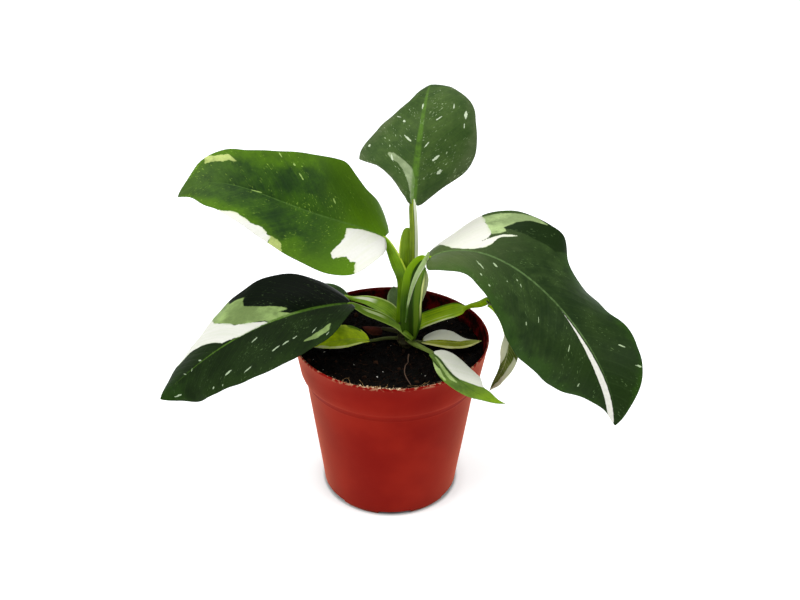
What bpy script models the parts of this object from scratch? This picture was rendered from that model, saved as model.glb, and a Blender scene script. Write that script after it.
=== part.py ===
"""Potted white princess philodendron: a young plant in a 12 cm nursery pot.

Metres, +Z up, +X to the right of the front view, +Y towards the back.
The origin is the centre of the pot's underside, which rests on the floor.
"""
from math import cos, pi, radians, sin

import bmesh
import bpy
import numpy as np
from mathutils import Matrix, Vector

# Fit between neighbouring pieces
GAP = 0.0003
SOIL_GAP = 0.0004

# Pot; the first notch is given in degrees from +X
POT_HEIGHT = 0.1093
RIM_RADIUS = 0.0600
COLLAR_BOTTOM = 0.0770
COLLAR_RADIUS = 0.0562
WALL_TOP_RADIUS = 0.0536
BASE_RADIUS = 0.0430
POT_WALL = 0.0010
POT_FLOOR = 0.0012
POT_SEGMENTS = 48
FOOT_NOTCHES = 6
NOTCH_WIDTH = 0.0210
NOTCH_HEIGHT = 0.0022
FIRST_NOTCH = -85
DRAIN_HOLES = 6
DRAIN_RADIUS = 0.0035
DRAIN_CIRCLE = 0.0260

# Soil
SOIL_LEVEL = 0.0990
SOIL_RELIEF = 0.0011
SOIL_RINGS = 7
SOIL_SEGMENTS = 32

# Stem
STEM_X = 0.0090
STEM_Y = 0.0040
STEM_RADIUS = 0.0062
STEM_FOOT = 0.0850
STEM_TOP = 0.1160
STEM_SEGMENTS = 18

# Blades, stalks and ribs; rows and columns are those of the blade's net
BLADE = 0.0008
BIG_ROWS = 17
BIG_COLUMNS = 4
SMALL_ROWS = 9
SMALL_COLUMNS = 3
STALK_SIDES = 8
STALK_STEPS = 2
RIB_SIDES = 5
RIB_REACH = 0.78
RIB_TIP_RADIUS = 0.0002
MIDRIB_SAMPLES = 120
MM = 0.001

# Each leaf: where its blade begins (m), its length and half widths (m), its outline,
# and stations from base to tip for heading, climb, roll, fold and curl (degrees).
# A stalk row is x, y, z, half width, half thickness and hollow (mm).
LEAVES = {
    "leaf_top": {
        "base": (0.0117, 0.0003, 0.1982),
        "length": 0.0960,
        "half": (0.0348, 0.0334),
        "widest": 0.37,
        "base_width": 0.33,
        "lobe": 0.020,
        "sweep": 0.075,
        "tip_power": 0.98,
        "cut": ((0.0, 0.31), (0.03, 0.32), (0.057, 0.38), (0.10, 0.43), (0.133, 0.50),
                (0.17, 0.60), (0.20, 0.72), (0.215, 0.86), (0.226, 1.06)),
        "heading": (86, 79, 79, 85),
        "climb": (58, 55, 29, -60),
        "roll": (40, 8, -6, -4),
        "fold": ((16, -12, -18), (-12, -5, 2)),
        "curl": ((-12, -28, -26), (-24, -22, -19)),
        "stalk": (
            (11.6, 7.8, 114.8, 2.4, 1.7, 0.0),
            (12.4, 7.8, 138.0, 2.5, 1.6, 0.0),
            (13.1, 6.0, 161.2, 2.4, 1.5, 0.3),
            (12.7, 3.0, 181.4, 2.2, 1.4, 0.3),
            (11.8, 0.6, 196.0, 1.9, 1.4, 0.0),
            (11.7, 1.6, 200.6, 1.0, 0.8, 0.0),
        ),
        "facing": (0.1, -1.0, 0.2),
        "sheath": (
            (10.6, 4.8, 115.0, 2.8, 0.6, -0.6),
            (8.8, 4.4, 138.0, 3.5, 0.6, -1.0),
            (8.0, 4.2, 158.0, 3.6, 0.5, -1.0),
            (8.2, 4.0, 169.0, 3.2, 0.5, -0.8),
            (8.8, 3.8, 176.5, 2.0, 0.5, -0.4),
            (9.3, 3.8, 179.5, 0.6, 0.4, 0.0),
        ),
    },
    "leaf_upper_left": {
        "base": (-0.0047, 0.0146, 0.1688),
        "length": 0.1335,
        "half": (0.0378, 0.0369),
        "widest": 0.24,
        "base_width": 0.30,
        "lobe": 0.022,
        "sweep": 0.078,
        "tip_power": 0.91,
        "heading": (178, 190, 182, 176),
        "climb": (29, 23, 19, -56),
        "roll": (10, -5, 10, -7),
        "fold": ((-4, -18, -12), (19, 62, 23)),
        "curl": ((-21, -22, -16), (-20, -15, -17)),
        "stalk": (
            (4.9, 7.6, 114.8, 2.4, 1.2, 0.0),
            (5.8, 8.4, 130.0, 2.8, 1.2, 0.2),
            (6.6, 8.2, 144.0, 3.3, 1.0, 0.5),
            (5.2, 8.4, 151.4, 3.6, 0.9, 0.8),
            (1.0, 10.8, 158.8, 3.0, 0.9, 0.8),
            (-4.0, 14.2, 167.6, 1.7, 1.1, 0.2),
            (-6.4, 14.8, 169.4, 1.0, 0.8, 0.0),
        ),
        "facing": (-0.3, -1.0, 0.5),
    },
    "leaf_lower_left": {
        "base": (-0.0251, -0.0007, 0.1309),
        "length": 0.1340,
        "half": (0.0387, 0.0392),
        "widest": 0.375,
        "base_width": 0.335,
        "lobe": 0.0,
        "sweep": 0.09,
        "tip_power": 0.89,
        "heading": (197, 194, 196, 205),
        "climb": (6, -16, -32, -42),
        "roll": (17, 2, 15, 2),
        "fold": ((4, -16, -34), (18, 26, 9)),
        "curl": ((-8, -12, -15), (-23, -22, -21)),
        "stalk": (
            (6.0, 3.2, 113.4, 2.2, 0.9, 0.6),
            (-0.4, 2.0, 117.4, 2.8, 0.8, 1.2),
            (-7.9, 1.0, 120.8, 3.1, 0.8, 1.3),
            (-15.9, 0.0, 124.9, 2.8, 0.9, 1.0),
            (-24.2, -0.6, 130.2, 1.7, 1.1, 0.2),
            (-27.2, -1.4, 131.0, 1.0, 0.8, 0.0),
        ),
        "facing": (0.2, -0.6, 0.8),
    },
    "leaf_right": {
        "base": (0.0214, -0.0008, 0.1628),
        "length": 0.1700,
        "half": (0.0513, 0.0449),
        "widest": 0.37,
        "base_width": 0.335,
        "lobe": 0.007,
        "sweep": 0.056,
        "tip_power": 1.0,
        "heading": (6, -20, -35, -48),
        "climb": (33, -27, -46, -85),
        "roll": (-16, -8, 2, 45),
        "fold": ((12, 17, 8, 19), (4, -4, -23, -21)),
        "curl": ((-19, -14, -20, -1), (-18, -21, -24, -14)),
        "wave": (-0.0090, 1.94, 0.25),
        "stalk": (
            (11.0, -2.0, 112.5, 6.0, 1.0, 2.4),
            (11.2, -3.0, 132.7, 6.2, 0.9, 2.6),
            (12.0, -3.6, 144.8, 6.4, 0.9, 2.6),
            (13.6, -3.2, 154.0, 5.4, 0.9, 2.2),
            (17.0, -2.2, 160.2, 3.4, 1.1, 1.0),
            (20.6, -1.0, 162.2, 2.1, 1.2, 0.2),
            (23.6, -0.8, 163.8, 1.1, 0.9, 0.0),
        ),
        "facing": (0.35, -1.0, 0.3),
    },
    "leaf_back_left": {
        "base": (-0.0305, 0.0380, 0.1138),
        "length": 0.0320,
        "half": (0.0100, 0.0100),
        "widest": 0.40,
        "base_width": 0.30,
        "lobe": 0.02,
        "sweep": 0.06,
        "tip_power": 1.0,
        "heading": (145, 150, 165),
        "climb": (35, 10, -20),
        "roll": (10, 5, 0),
        "fold": ((15, 5), (15, 5)),
        "curl": ((-15, -15), (-15, -15)),
        "stalk": (
            (6.0, 9.0, 109.4, 2.2, 0.9, 0.4),
            (-0.6, 12.6, 116.0, 3.4, 0.8, 1.3),
            (-8.4, 19.4, 118.2, 3.6, 0.8, 1.4),
            (-17.0, 28.0, 116.7, 2.6, 0.8, 1.0),
            (-26.0, 35.4, 114.2, 1.5, 1.0, 0.2),
            (-31.6, 38.8, 114.2, 0.9, 0.8, 0.0),
        ),
        "facing": (0.0, -0.6, 0.8),
    },
    "leaf_front_left": {
        "base": (-0.0140, -0.0020, 0.1050),
        "length": 0.0355,
        "half": (0.0099, 0.0123),
        "widest": 0.37,
        "base_width": 0.28,
        "lobe": 0.0,
        "sweep": 0.053,
        "tip_power": 1.0,
        "heading": (187, 195, 199),
        "climb": (21, -2, -12),
        "roll": (8, -9, 0),
        "fold": ((22, 7), (14, 15)),
        "curl": ((-6, -12), (-11, -10)),
        "stalk": (
            (6.0, 4.0, 104.0, 1.3, 1.2, 0.0),
            (-3.0, 3.0, 104.2, 1.2, 1.1, 0.0),
            (-9.0, 0.6, 104.4, 1.1, 1.1, 0.0),
            (-14.2, -2.0, 104.9, 1.0, 1.0, 0.0),
            (-16.2, -2.4, 105.4, 0.7, 0.7, 0.0),
        ),
        "facing": (0.0, -0.5, 0.9),
    },
    "leaf_far_right": {
        "base": (0.0595, 0.0040, 0.1311),
        "length": 0.0610,
        "half": (0.0080, 0.0042),
        "widest": 0.50,
        "base_width": 0.30,
        "lobe": 0.045,
        "sweep": 0.062,
        "tip_power": 1.0,
        "heading": (-41, -42, -109, -145),
        "climb": (-39, -63, -47, -62),
        "roll": (-5, -16, -13, 1),
        "fold": ((-30, 0), (4, 8)),
        "curl": ((0, 0), (0, 0)),
        "stalk": (
            (12.0, 6.8, 108.6, 3.6, 0.9, 0.6),
            (19.1, 9.4, 113.0, 4.8, 0.7, 1.2),
            (30.5, 13.0, 115.9, 4.9, 0.7, 1.8),
            (41.0, 15.0, 118.9, 4.0, 0.7, 1.4),
            (47.5, 14.0, 121.4, 1.7, 1.1, 0.2),
            (55.1, 9.0, 126.7, 1.3, 1.2, 0.0),
            (59.2, 4.4, 130.6, 1.3, 1.1, 0.0),
            (60.8, 2.8, 129.8, 0.8, 0.7, 0.0),
        ),
        "facing": (0.0, -0.6, 0.8),
    },
    "leaf_mid_right": {
        "base": (0.0193, 0.0000, 0.1036),
        "length": 0.0370,
        "half": (0.0116, 0.0082),
        "widest": 0.37,
        "base_width": 0.28,
        "lobe": 0.0,
        "sweep": 0.050,
        "tip_power": 1.03,
        "heading": (-6, 5, 14),
        "climb": (10, -5, 6),
        "roll": (-13, 0, -7),
        "fold": ((18, 6), (12, 7)),
        "curl": ((-8, -14), (-9, -11)),
        "stalk": (
            (12.0, 1.6, 103.4, 1.3, 1.2, 0.0),
            (16.5, 0.6, 103.4, 1.2, 1.1, 0.0),
            (19.6, 0.0, 103.5, 1.0, 1.0, 0.0),
            (21.6, -0.2, 103.7, 0.7, 0.7, 0.0),
        ),
        "facing": (0.0, -0.5, 0.9),
    },
    "leaf_front": {
        "base": (0.0250, -0.0200, 0.1084),
        "length": 0.0700,
        "half": (0.0125, 0.0085),
        "widest": 0.363,
        "base_width": 0.26,
        "lobe": 0.0,
        "sweep": 0.053,
        "tip_power": 0.98,
        "heading": (-59, -63, 1),
        "climb": (9, 1, -13),
        "roll": (3, -6, 1),
        "fold": ((10, 0), (0, -4)),
        "curl": ((-10, -13), (-8, -14)),
        "stalk": (
            (9.6, 1.0, 105.8, 2.1, 1.7, 0.0),
            (13.6, -6.2, 106.6, 2.0, 1.5, 0.0),
            (18.6, -12.0, 107.2, 1.7, 1.3, 0.2),
            (24.4, -19.0, 108.2, 1.4, 1.0, 0.2),
            (25.6, -21.8, 108.6, 0.8, 0.8, 0.0),
        ),
        "facing": (0.0, -0.5, 0.9),
    },
    "leaf_behind": {
        "base": (0.0046, 0.0160, 0.1125),
        "length": 0.0200,
        "half": (0.0056, 0.0060),
        "widest": 0.50,
        "base_width": 0.45,
        "lobe": 0.0,
        "sweep": 0.05,
        "tip_power": 0.8,
        "heading": (112, 108, 100),
        "climb": (56, 50, 42),
        "roll": (-10, -5, 0),
        "fold": ((10, 5), (10, 5)),
        "curl": ((-15, -15), (-15, -15)),
        "stalk": (
            (8.0, 6.0, 104.8, 1.6, 1.3, 0.0),
            (6.6, 12.0, 106.6, 1.5, 1.2, 0.0),
            (4.8, 15.6, 111.4, 1.3, 1.1, 0.0),
            (4.0, 17.0, 114.2, 0.8, 0.7, 0.0),
        ),
        "facing": (0.0, -1.0, 0.3),
    },
    "young_sheath": {
        "base": (0.0142, 0.0148, 0.1175),
        "length": 0.0325,
        "half": (0.0050, 0.0052),
        "widest": 0.50,
        "base_width": 0.50,
        "lobe": 0.0,
        "sweep": 0.0,
        "tip_power": 0.8,
        "heading": (20, -10, 140),
        "climb": (66, 76, 78),
        "roll": (0, 20, 0),
        "fold": ((-15, -10), (-15, -10)),
        "curl": ((-20, -20), (-20, -20)),
        "stalk": (
            (10.0, 8.0, 106.6, 1.4, 1.2, 0.0),
            (11.2, 12.8, 110.0, 1.4, 1.2, 0.0),
            (13.8, 14.8, 116.2, 1.4, 1.0, 0.0),
            (14.8, 15.0, 120.0, 0.8, 0.6, 0.0),
        ),
        "facing": (0.0, -1.0, 0.3),
    },
    "old_sheath": {
        "base": (0.0010, 0.0095, 0.1076),
        "length": 0.0200,
        "half": (0.0052, 0.0046),
        "widest": 0.45,
        "base_width": 0.60,
        "lobe": 0.0,
        "sweep": 0.0,
        "tip_power": 0.6,
        "heading": (178, 170, 182),
        "climb": (8, 0, -12),
        "roll": (-10, 5, 20),
        "fold": ((-10, -20), (-10, -25)),
        "curl": ((-70, -80), (-70, -60)),
        "stalk": (
            (6.0, 7.4, 107.0, 1.5, 0.9, 0.0),
            (1.2, 9.2, 107.3, 1.5, 0.8, 0.0),
            (-2.0, 9.7, 107.7, 1.0, 0.6, 0.0),
        ),
        "facing": (0.0, -0.5, 0.9),
    },
}
BIG_LEAVES = ("leaf_top", "leaf_upper_left", "leaf_lower_left", "leaf_right")
SHEATHS = ("old_sheath", "young_sheath")
RIB_FACING = (0.13, -0.31, 0.94)


def clear_scene():
    for item in list(bpy.data.objects):
        bpy.data.objects.remove(item, do_unlink=True)


def make_collection(name):
    made = bpy.data.collections.new(name)
    bpy.context.scene.collection.children.link(made)
    return made


def make_material(name, colour, roughness):
    made = bpy.data.materials.new(name)
    made.use_nodes = True
    shader = made.node_tree.nodes["Principled BSDF"]
    shader.inputs["Base Color"].default_value = (*colour, 1.0)
    shader.inputs["Roughness"].default_value = roughness
    return made


def link_mesh(name, mesh, collection):
    made = bpy.data.objects.new(name, mesh)
    collection.objects.link(made)
    return made


def settle(item):
    """Turn what the modifiers make into the object's own mesh."""
    bpy.context.view_layer.update()
    graph = bpy.context.evaluated_depsgraph_get()
    mesh = bpy.data.meshes.new_from_object(item.evaluated_get(graph))
    item.modifiers.clear()
    item.data = mesh
    return item


def boolean(item, tool, operation):
    step = item.modifiers.new("boolean", "BOOLEAN")
    step.operation = operation
    step.solver = "EXACT"
    step.object = tool
    return settle(item)


def hide_cutter(item):
    item.hide_render = True
    item.display_type = "WIRE"


def finish(item, material, smooth=True):
    """Triangulate, face outwards, shade and colour one piece."""
    shape = bmesh.new()
    shape.from_mesh(item.data)
    bmesh.ops.remove_doubles(shape, verts=shape.verts, dist=0.00001)
    bmesh.ops.triangulate(shape, faces=shape.faces)
    bmesh.ops.recalc_face_normals(shape, faces=shape.faces)
    shape.to_mesh(item.data)
    shape.free()
    item.data.materials.clear()
    item.data.materials.append(material)
    for face in item.data.polygons:
        face.use_smooth = smooth
        face.material_index = 0
    return item


def set_origin(item, place):
    """Give the object its location at the point where the real piece is fixed."""
    item.data.transform(Matrix.Translation(Vector(place)).inverted())
    item.location = place
    return item


def turned(name, profile, segments, collection, centre=(0.0, 0.0)):
    """A solid turned about the vertical from a profile of (radius, height)."""
    mesh = bpy.data.meshes.new(name)
    edges = [(i, i + 1) for i in range(len(profile) - 1)]
    mesh.from_pydata([(r, 0.0, z) for r, z in profile], edges, [])
    item = link_mesh(name, mesh, collection)
    spin = item.modifiers.new("turn", "SCREW")
    spin.angle = 2 * pi
    spin.steps = segments
    spin.render_steps = segments
    spin.use_merge_vertices = True
    spin.merge_threshold = 0.0001
    settle(item)
    item.data.transform(Matrix.Translation((centre[0], centre[1], 0.0)))
    return item


def wall_radius(height):
    """Outer radius of the pot's wall below the collar."""
    share = height / COLLAR_BOTTOM
    return BASE_RADIUS + (WALL_TOP_RADIUS - BASE_RADIUS) * share


def collar_radius(height):
    """Outer radius of the pot's collar."""
    share = (height - COLLAR_BOTTOM) / (POT_HEIGHT - COLLAR_BOTTOM)
    return COLLAR_RADIUS + (RIM_RADIUS - COLLAR_RADIUS) * share


def pot_profile():
    top = POT_HEIGHT
    low = COLLAR_BOTTOM
    outside = [
        (RIM_RADIUS - 0.0005, top),
        (RIM_RADIUS, top - 0.0005),
        (collar_radius(low + 0.0120), low + 0.0120),
        (collar_radius(low + 0.0025), low + 0.0025),
        (COLLAR_RADIUS - 0.0004, low + 0.0008),
        (COLLAR_RADIUS - 0.0014, low),
        (WALL_TOP_RADIUS, low - 0.0003),
        (wall_radius(0.040), 0.040),
        (wall_radius(0.006), 0.006),
        (BASE_RADIUS - 0.0002, 0.0012),
        (BASE_RADIUS - 0.0014, 0.0),
        (0.0, 0.0),
    ]
    inside = [
        (0.0, POT_FLOOR),
        (wall_radius(POT_FLOOR) - POT_WALL, POT_FLOOR),
        (WALL_TOP_RADIUS - POT_WALL, low - 0.0008),
        (COLLAR_RADIUS - POT_WALL, low + 0.0022),
        (RIM_RADIUS - POT_WALL, top - 0.0006),
        (RIM_RADIUS - POT_WALL + 0.0002, top),
    ]
    return outside + inside + outside[:1]


def box_cutter(size, place, turn, collection):
    mesh = bpy.data.meshes.new("cutter")
    shape = bmesh.new()
    bmesh.ops.create_cube(shape, size=1.0)
    move = Matrix.Rotation(turn, 4, "Z") @ Matrix.Translation(place) @ Matrix.Diagonal((*size, 1.0))
    bmesh.ops.transform(shape, matrix=move, verts=shape.verts)
    shape.to_mesh(mesh)
    shape.free()
    item = link_mesh("cutter", mesh, collection)
    hide_cutter(item)
    return item


def round_cutter(radius, low, high, centre, collection, segments=24):
    mesh = bpy.data.meshes.new("cutter")
    shape = bmesh.new()
    bmesh.ops.create_cone(shape, cap_ends=True, segments=segments, radius1=radius,
                          radius2=radius, depth=high - low)
    shift = Matrix.Translation((centre[0], centre[1], (low + high) / 2))
    bmesh.ops.transform(shape, matrix=shift, verts=shape.verts)
    shape.to_mesh(mesh)
    shape.free()
    item = link_mesh("cutter", mesh, collection)
    hide_cutter(item)
    return item


def make_pot(parts, cutters):
    pot = turned("pot", pot_profile(), POT_SEGMENTS, parts)
    for i in range(FOOT_NOTCHES):
        turn = radians(FIRST_NOTCH + i * 360 / FOOT_NOTCHES)
        size = (0.0060, NOTCH_WIDTH, 2 * NOTCH_HEIGHT)
        notch = box_cutter(size, (BASE_RADIUS, 0.0, 0.0), turn, cutters)
        boolean(pot, notch, "DIFFERENCE")
    for i in range(DRAIN_HOLES):
        turn = radians(FIRST_NOTCH + (i + 0.5) * 360 / DRAIN_HOLES)
        place = (DRAIN_CIRCLE * cos(turn), DRAIN_CIRCLE * sin(turn))
        hole = round_cutter(DRAIN_RADIUS, -0.001, 0.003, place, cutters, 12)
        boolean(pot, hole, "DIFFERENCE")
    return finish(pot, make_material("pot red plastic", (0.33, 0.028, 0.018), 0.45))


def soil_height(x, y):
    """Gentle lumps in the soil, with a slight dish towards the wall."""
    lumps = sin(91 * x + 1.3) * cos(103 * y - 0.6) + 0.6 * sin(187 * x - 140 * y + 2.1)
    return SOIL_LEVEL + SOIL_RELIEF * lumps


def soil_radius(height):
    if height < COLLAR_BOTTOM:
        return wall_radius(height) - POT_WALL - SOIL_GAP
    return collar_radius(height) - POT_WALL - SOIL_GAP


def make_soil(parts, cutters):
    """A turned plug of soil whose top face carries the lumps."""
    edge = soil_radius(SOIL_LEVEL - 0.0040)
    profile = [(0.0, SOIL_LEVEL)]
    for i in range(1, SOIL_RINGS):
        profile.append((edge * i / SOIL_RINGS, SOIL_LEVEL))
    profile += [
        (soil_radius(SOIL_LEVEL), SOIL_LEVEL),
        (COLLAR_RADIUS - POT_WALL - SOIL_GAP, COLLAR_BOTTOM + 0.0028),
        (WALL_TOP_RADIUS - POT_WALL - SOIL_GAP, COLLAR_BOTTOM - 0.0004),
        (soil_radius(POT_FLOOR + GAP), POT_FLOOR + GAP),
        (0.0, POT_FLOOR + GAP),
    ]
    soil = turned("soil", profile, SOIL_SEGMENTS, parts)
    for point in soil.data.vertices:
        if point.co.z > SOIL_LEVEL - 0.0001:
            reach = (point.co.x ** 2 + point.co.y ** 2) ** 0.5
            if reach < edge - 0.0002:
                point.co.z = soil_height(point.co.x, point.co.y)
    hole = round_cutter(STEM_RADIUS + GAP, STEM_FOOT - GAP, 0.120, (STEM_X, STEM_Y), cutters)
    boolean(soil, hole, "DIFFERENCE")
    return finish(soil, make_material("potting soil", (0.012, 0.008, 0.005), 0.95))


def stem_profile(grow):
    """The stem's profile, or with grow the same profile held off by a gap."""
    return [
        (0.0, STEM_TOP + grow),
        (STEM_RADIUS * 0.62, STEM_TOP - 0.0004 + grow),
        (STEM_RADIUS - 0.0006 + grow, STEM_TOP - 0.0022 + grow),
        (STEM_RADIUS - 0.0001 + grow, STEM_TOP - 0.0050),
        (STEM_RADIUS - 0.0006 + grow, STEM_TOP - 0.0065),
        (STEM_RADIUS + grow, STEM_TOP - 0.0085),
        (STEM_RADIUS - 0.0005 + grow, STEM_TOP - 0.0100),
        (STEM_RADIUS - 0.0001 + grow, 0.1020),
        (STEM_RADIUS + grow, STEM_FOOT + 0.0010),
        (STEM_RADIUS - 0.0010 + grow, STEM_FOOT - grow),
        (0.0, STEM_FOOT - grow),
    ]


def make_stem(parts, cutters):
    """The short stem, and a slightly larger cutter that seats the stalks on it."""
    centre = (STEM_X, STEM_Y)
    stem = turned("stem", stem_profile(0.0), STEM_SEGMENTS, parts, centre)
    cutter = turned("stem cutter", stem_profile(GAP), STEM_SEGMENTS, cutters, centre)
    finish(cutter, make_material("cutter", (0.5, 0.5, 0.5), 1.0))
    hide_cutter(cutter)
    finish(stem, make_material("stem", (0.12, 0.16, 0.07), 0.55))
    set_origin(stem, (STEM_X, STEM_Y, STEM_FOOT))
    return cutter


def along(stations, share):
    """A smooth curve through evenly spaced stations."""
    places = np.linspace(0, 1, len(stations))
    return np.polyval(np.polyfit(places, stations, len(stations) - 1), share)


def outline(share, leaf):
    """Width of the blade as a share of its widest: rounded base, drawn-out tip."""
    grow = np.clip(share / leaf["widest"], 0, 1)
    start = leaf["base_width"]
    base = start + (1 - start) * np.sqrt(1 - (1 - grow) ** 2)
    run = np.clip((share - leaf["widest"]) / (1 - leaf["widest"]), 0, 1)
    tip = np.clip(1 - run ** 1.7, 0, 1) ** leaf["tip_power"]
    return np.where(share < leaf["widest"], base, tip)


def midrib(leaf, count):
    """Points, direction, side and normal along the midrib."""
    share = np.linspace(0, 1, count)
    heading = np.radians(along(leaf["heading"], share))
    climb = np.radians(along(leaf["climb"], share))
    roll = np.radians(along(leaf["roll"], share))[:, None]
    flat = np.cos(climb)
    ahead = np.stack([flat * np.cos(heading), flat * np.sin(heading), np.sin(climb)], axis=1)
    level = np.stack([-np.sin(heading), np.cos(heading), np.zeros(count)], axis=1)
    above = np.cross(ahead, level)
    side = level * np.cos(roll) + above * np.sin(roll)
    normal = above * np.cos(roll) - level * np.sin(roll)
    steps = (ahead[1:] + ahead[:-1]) / 2 * leaf["length"] / (count - 1)
    points = np.vstack([np.zeros(3), np.cumsum(steps, axis=0)]) + np.array(leaf["base"])
    return points, ahead, side, normal


def pick(values, share):
    """Read values evenly spaced from 0 to 1 at the given shares."""
    places = np.linspace(0, 1, len(values))
    return np.stack([np.interp(share, places, values[:, k]) for k in range(3)], axis=1)


def left_share(leaf, share):
    """How much of the left half is there, where its margin is cut back at the base."""
    if "cut" not in leaf:
        return np.ones_like(share)
    return np.minimum(1, np.interp(share, *zip(*leaf["cut"])))


def blade_points(leaf, rows, columns):
    """The blade's surface as a grid from base to tip and from left to right."""
    points, ahead, side, normal = midrib(leaf, MIDRIB_SAMPLES)
    share = np.linspace(0, 1, rows)
    profile = outline(share, leaf)
    grid = np.zeros((rows, 2 * columns + 1, 3))
    for column in range(-columns, columns + 1):
        half = 0 if column < 0 else 1
        kept = left_share(leaf, share) if half == 0 else np.ones(rows)
        reach = abs(column) / columns * kept
        hand = 1 if half == 0 else -1
        width = leaf["half"][half] * profile
        fold = np.radians(along(leaf["fold"][half], share))
        curl = np.radians(along(leaf["curl"][half], share))
        curl = np.where(np.abs(curl) < 0.001, 0.001, curl)
        out = (np.sin(fold + curl * reach) - np.sin(fold)) / curl * width
        lift = (np.cos(fold) - np.cos(fold + curl * reach)) / curl * width
        if half == 0 and "wave" in leaf:
            height, count, phase = leaf["wave"]
            lift = lift + height * reach ** 2 * np.sin(2 * pi * (count * share + phase)) * profile
        ease = np.sin(pi * reach / 2) ** 2
        shift = ease * (leaf["sweep"] * np.sin(pi * share) - leaf["lobe"] * (1 - share) ** 3)
        place = share + shift
        inner = np.clip(place, 0, 1)
        beyond = (place - inner)[:, None] * leaf["length"]
        spine = pick(points, inner) + pick(ahead, inner) * beyond
        across = pick(side, inner) * (hand * out)[:, None]
        grid[:, column + columns] = spine + across + pick(normal, inner) * lift[:, None]
    return grid


def blade_solid(name, leaf, rows, columns, collection):
    """The blade as a thin solid, with both faces cut into the same triangles."""
    grid = blade_points(leaf, rows, columns)
    wide = 2 * columns + 1
    faces = []
    for i in range(rows - 1):
        for j in range(wide - 1):
            a = i * wide + j
            near = (a, a + 1, a + wide + 1)
            far = (a, a + wide + 1, a + wide)
            if j < columns:
                near = (a, a + 1, a + wide)
                far = (a + 1, a + wide + 1, a + wide)
            faces += [near, far]
    mesh = bpy.data.meshes.new(name)
    mesh.from_pydata([tuple(p) for p in grid.reshape(-1, 3)], [], faces)
    shape = bmesh.new()
    shape.from_mesh(mesh)
    bmesh.ops.remove_doubles(shape, verts=shape.verts, dist=0.0001)
    bmesh.ops.recalc_face_normals(shape, faces=shape.faces)
    shape.to_mesh(mesh)
    shape.free()
    item = link_mesh(name, mesh, collection)
    skin = item.modifiers.new("skin", "SOLIDIFY")
    skin.thickness = BLADE
    skin.offset = 0.0
    return settle(item)


def smooth_path(rows, steps):
    """A rounded path through the rows, every column eased alike."""
    rows = np.array(rows, float)
    slopes = np.gradient(rows, axis=0)
    path = []
    for a, b, start, end in zip(rows[:-1], rows[1:], slopes[:-1], slopes[1:]):
        for t in np.linspace(0, 1, steps, endpoint=False):
            ease = t * t * (3 - 2 * t)
            lead = t * (1 - t) ** 2
            trail = t * t * (t - 1)
            path.append(a + (b - a) * ease + start * lead + end * trail)
    path.append(rows[-1])
    return np.array(path)


def lofted(name, path, facing, sides, collection):
    """A closed stalk: each ring is an oval, bent into a channel by its hollow."""
    places = path[:, :3]
    ahead = np.gradient(places, axis=0)
    ahead /= np.linalg.norm(ahead, axis=1)[:, None]
    across = np.cross(ahead, facing)
    across /= np.linalg.norm(across, axis=1)[:, None]
    out = np.cross(across, ahead)
    shape = bmesh.new()
    rings = []
    for k, place in enumerate(places):
        half, thick, hollow = path[k, 3:6]
        ring = []
        for i in range(sides):
            angle = 2 * pi * i / sides
            rise = thick * sin(angle) + hollow * cos(angle) ** 2
            point = place + across[k] * half * cos(angle) + out[k] * rise
            ring.append(shape.verts.new(Vector(point)))
        rings.append(ring)
    for low, high in zip(rings[:-1], rings[1:]):
        for i in range(sides):
            n = (i + 1) % sides
            shape.faces.new((low[i], low[n], high[n], high[i]))
    shape.faces.new(list(reversed(rings[0])))
    shape.faces.new(rings[-1])
    bmesh.ops.triangulate(shape, faces=shape.faces)
    bmesh.ops.recalc_face_normals(shape, faces=shape.faces)
    mesh = bpy.data.meshes.new(name)
    shape.to_mesh(mesh)
    shape.free()
    return link_mesh(name, mesh, collection)


def rib_path(leaf, count):
    """The raised midrib under the blade, thinning towards the tip."""
    points, ahead, side, normal = midrib(leaf, MIDRIB_SAMPLES)
    share = np.linspace(0.0, RIB_REACH, count)
    size = leaf["stalk"][-2][4] * MM
    radius = size * 0.85 * (1 - share) + RIB_TIP_RADIUS
    centre = pick(points, share) - pick(normal, share) * (radius * 0.85)[:, None]
    extra = np.stack([radius, radius, 0 * radius], axis=1)
    return np.hstack([centre, extra])


def add_stalk(item, rows, facing, cutters):
    path = smooth_path(np.array(rows) * MM, STALK_STEPS)
    boolean(item, lofted("cutter", path, facing, STALK_SIDES, cutters), "UNION")


def make_leaf(name, leaf, material, parts, cutters, stem_cutter):
    """A blade with its stalk, its midrib and any sheath, seated on the stem."""
    big = name in BIG_LEAVES
    rows = BIG_ROWS if big else SMALL_ROWS
    columns = BIG_COLUMNS if big else SMALL_COLUMNS
    item = blade_solid(name, leaf, rows, columns, parts)
    add_stalk(item, leaf["stalk"], leaf["facing"], cutters)
    if name not in SHEATHS:
        rib = rib_path(leaf, columns + 3)
        boolean(item, lofted("cutter", rib, RIB_FACING, RIB_SIDES, cutters), "UNION")
    if "sheath" in leaf:
        add_stalk(item, leaf["sheath"], leaf["facing"], cutters)
    boolean(item, stem_cutter, "DIFFERENCE")
    finish(item, material)
    return set_origin(item, leaf["base"])


def make_plant(parts, cutters):
    stem_cutter = make_stem(parts, cutters)
    green = make_material("leaf green", (0.055, 0.105, 0.028), 0.42)
    dry = make_material("dry sheath", (0.09, 0.022, 0.014), 0.7)
    for name, leaf in LEAVES.items():
        material = dry if name == "old_sheath" else green.copy()
        material.name = name.replace("_", " ")
        make_leaf(name, leaf, material, parts, cutters, stem_cutter)


def main():
    clear_scene()
    parts = make_collection("potted white princess philodendron")
    cutters = make_collection("cutters")
    make_pot(parts, cutters)
    make_soil(parts, cutters)
    make_plant(parts, cutters)
    for item in list(cutters.objects):
        hide_cutter(item)


main()
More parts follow.
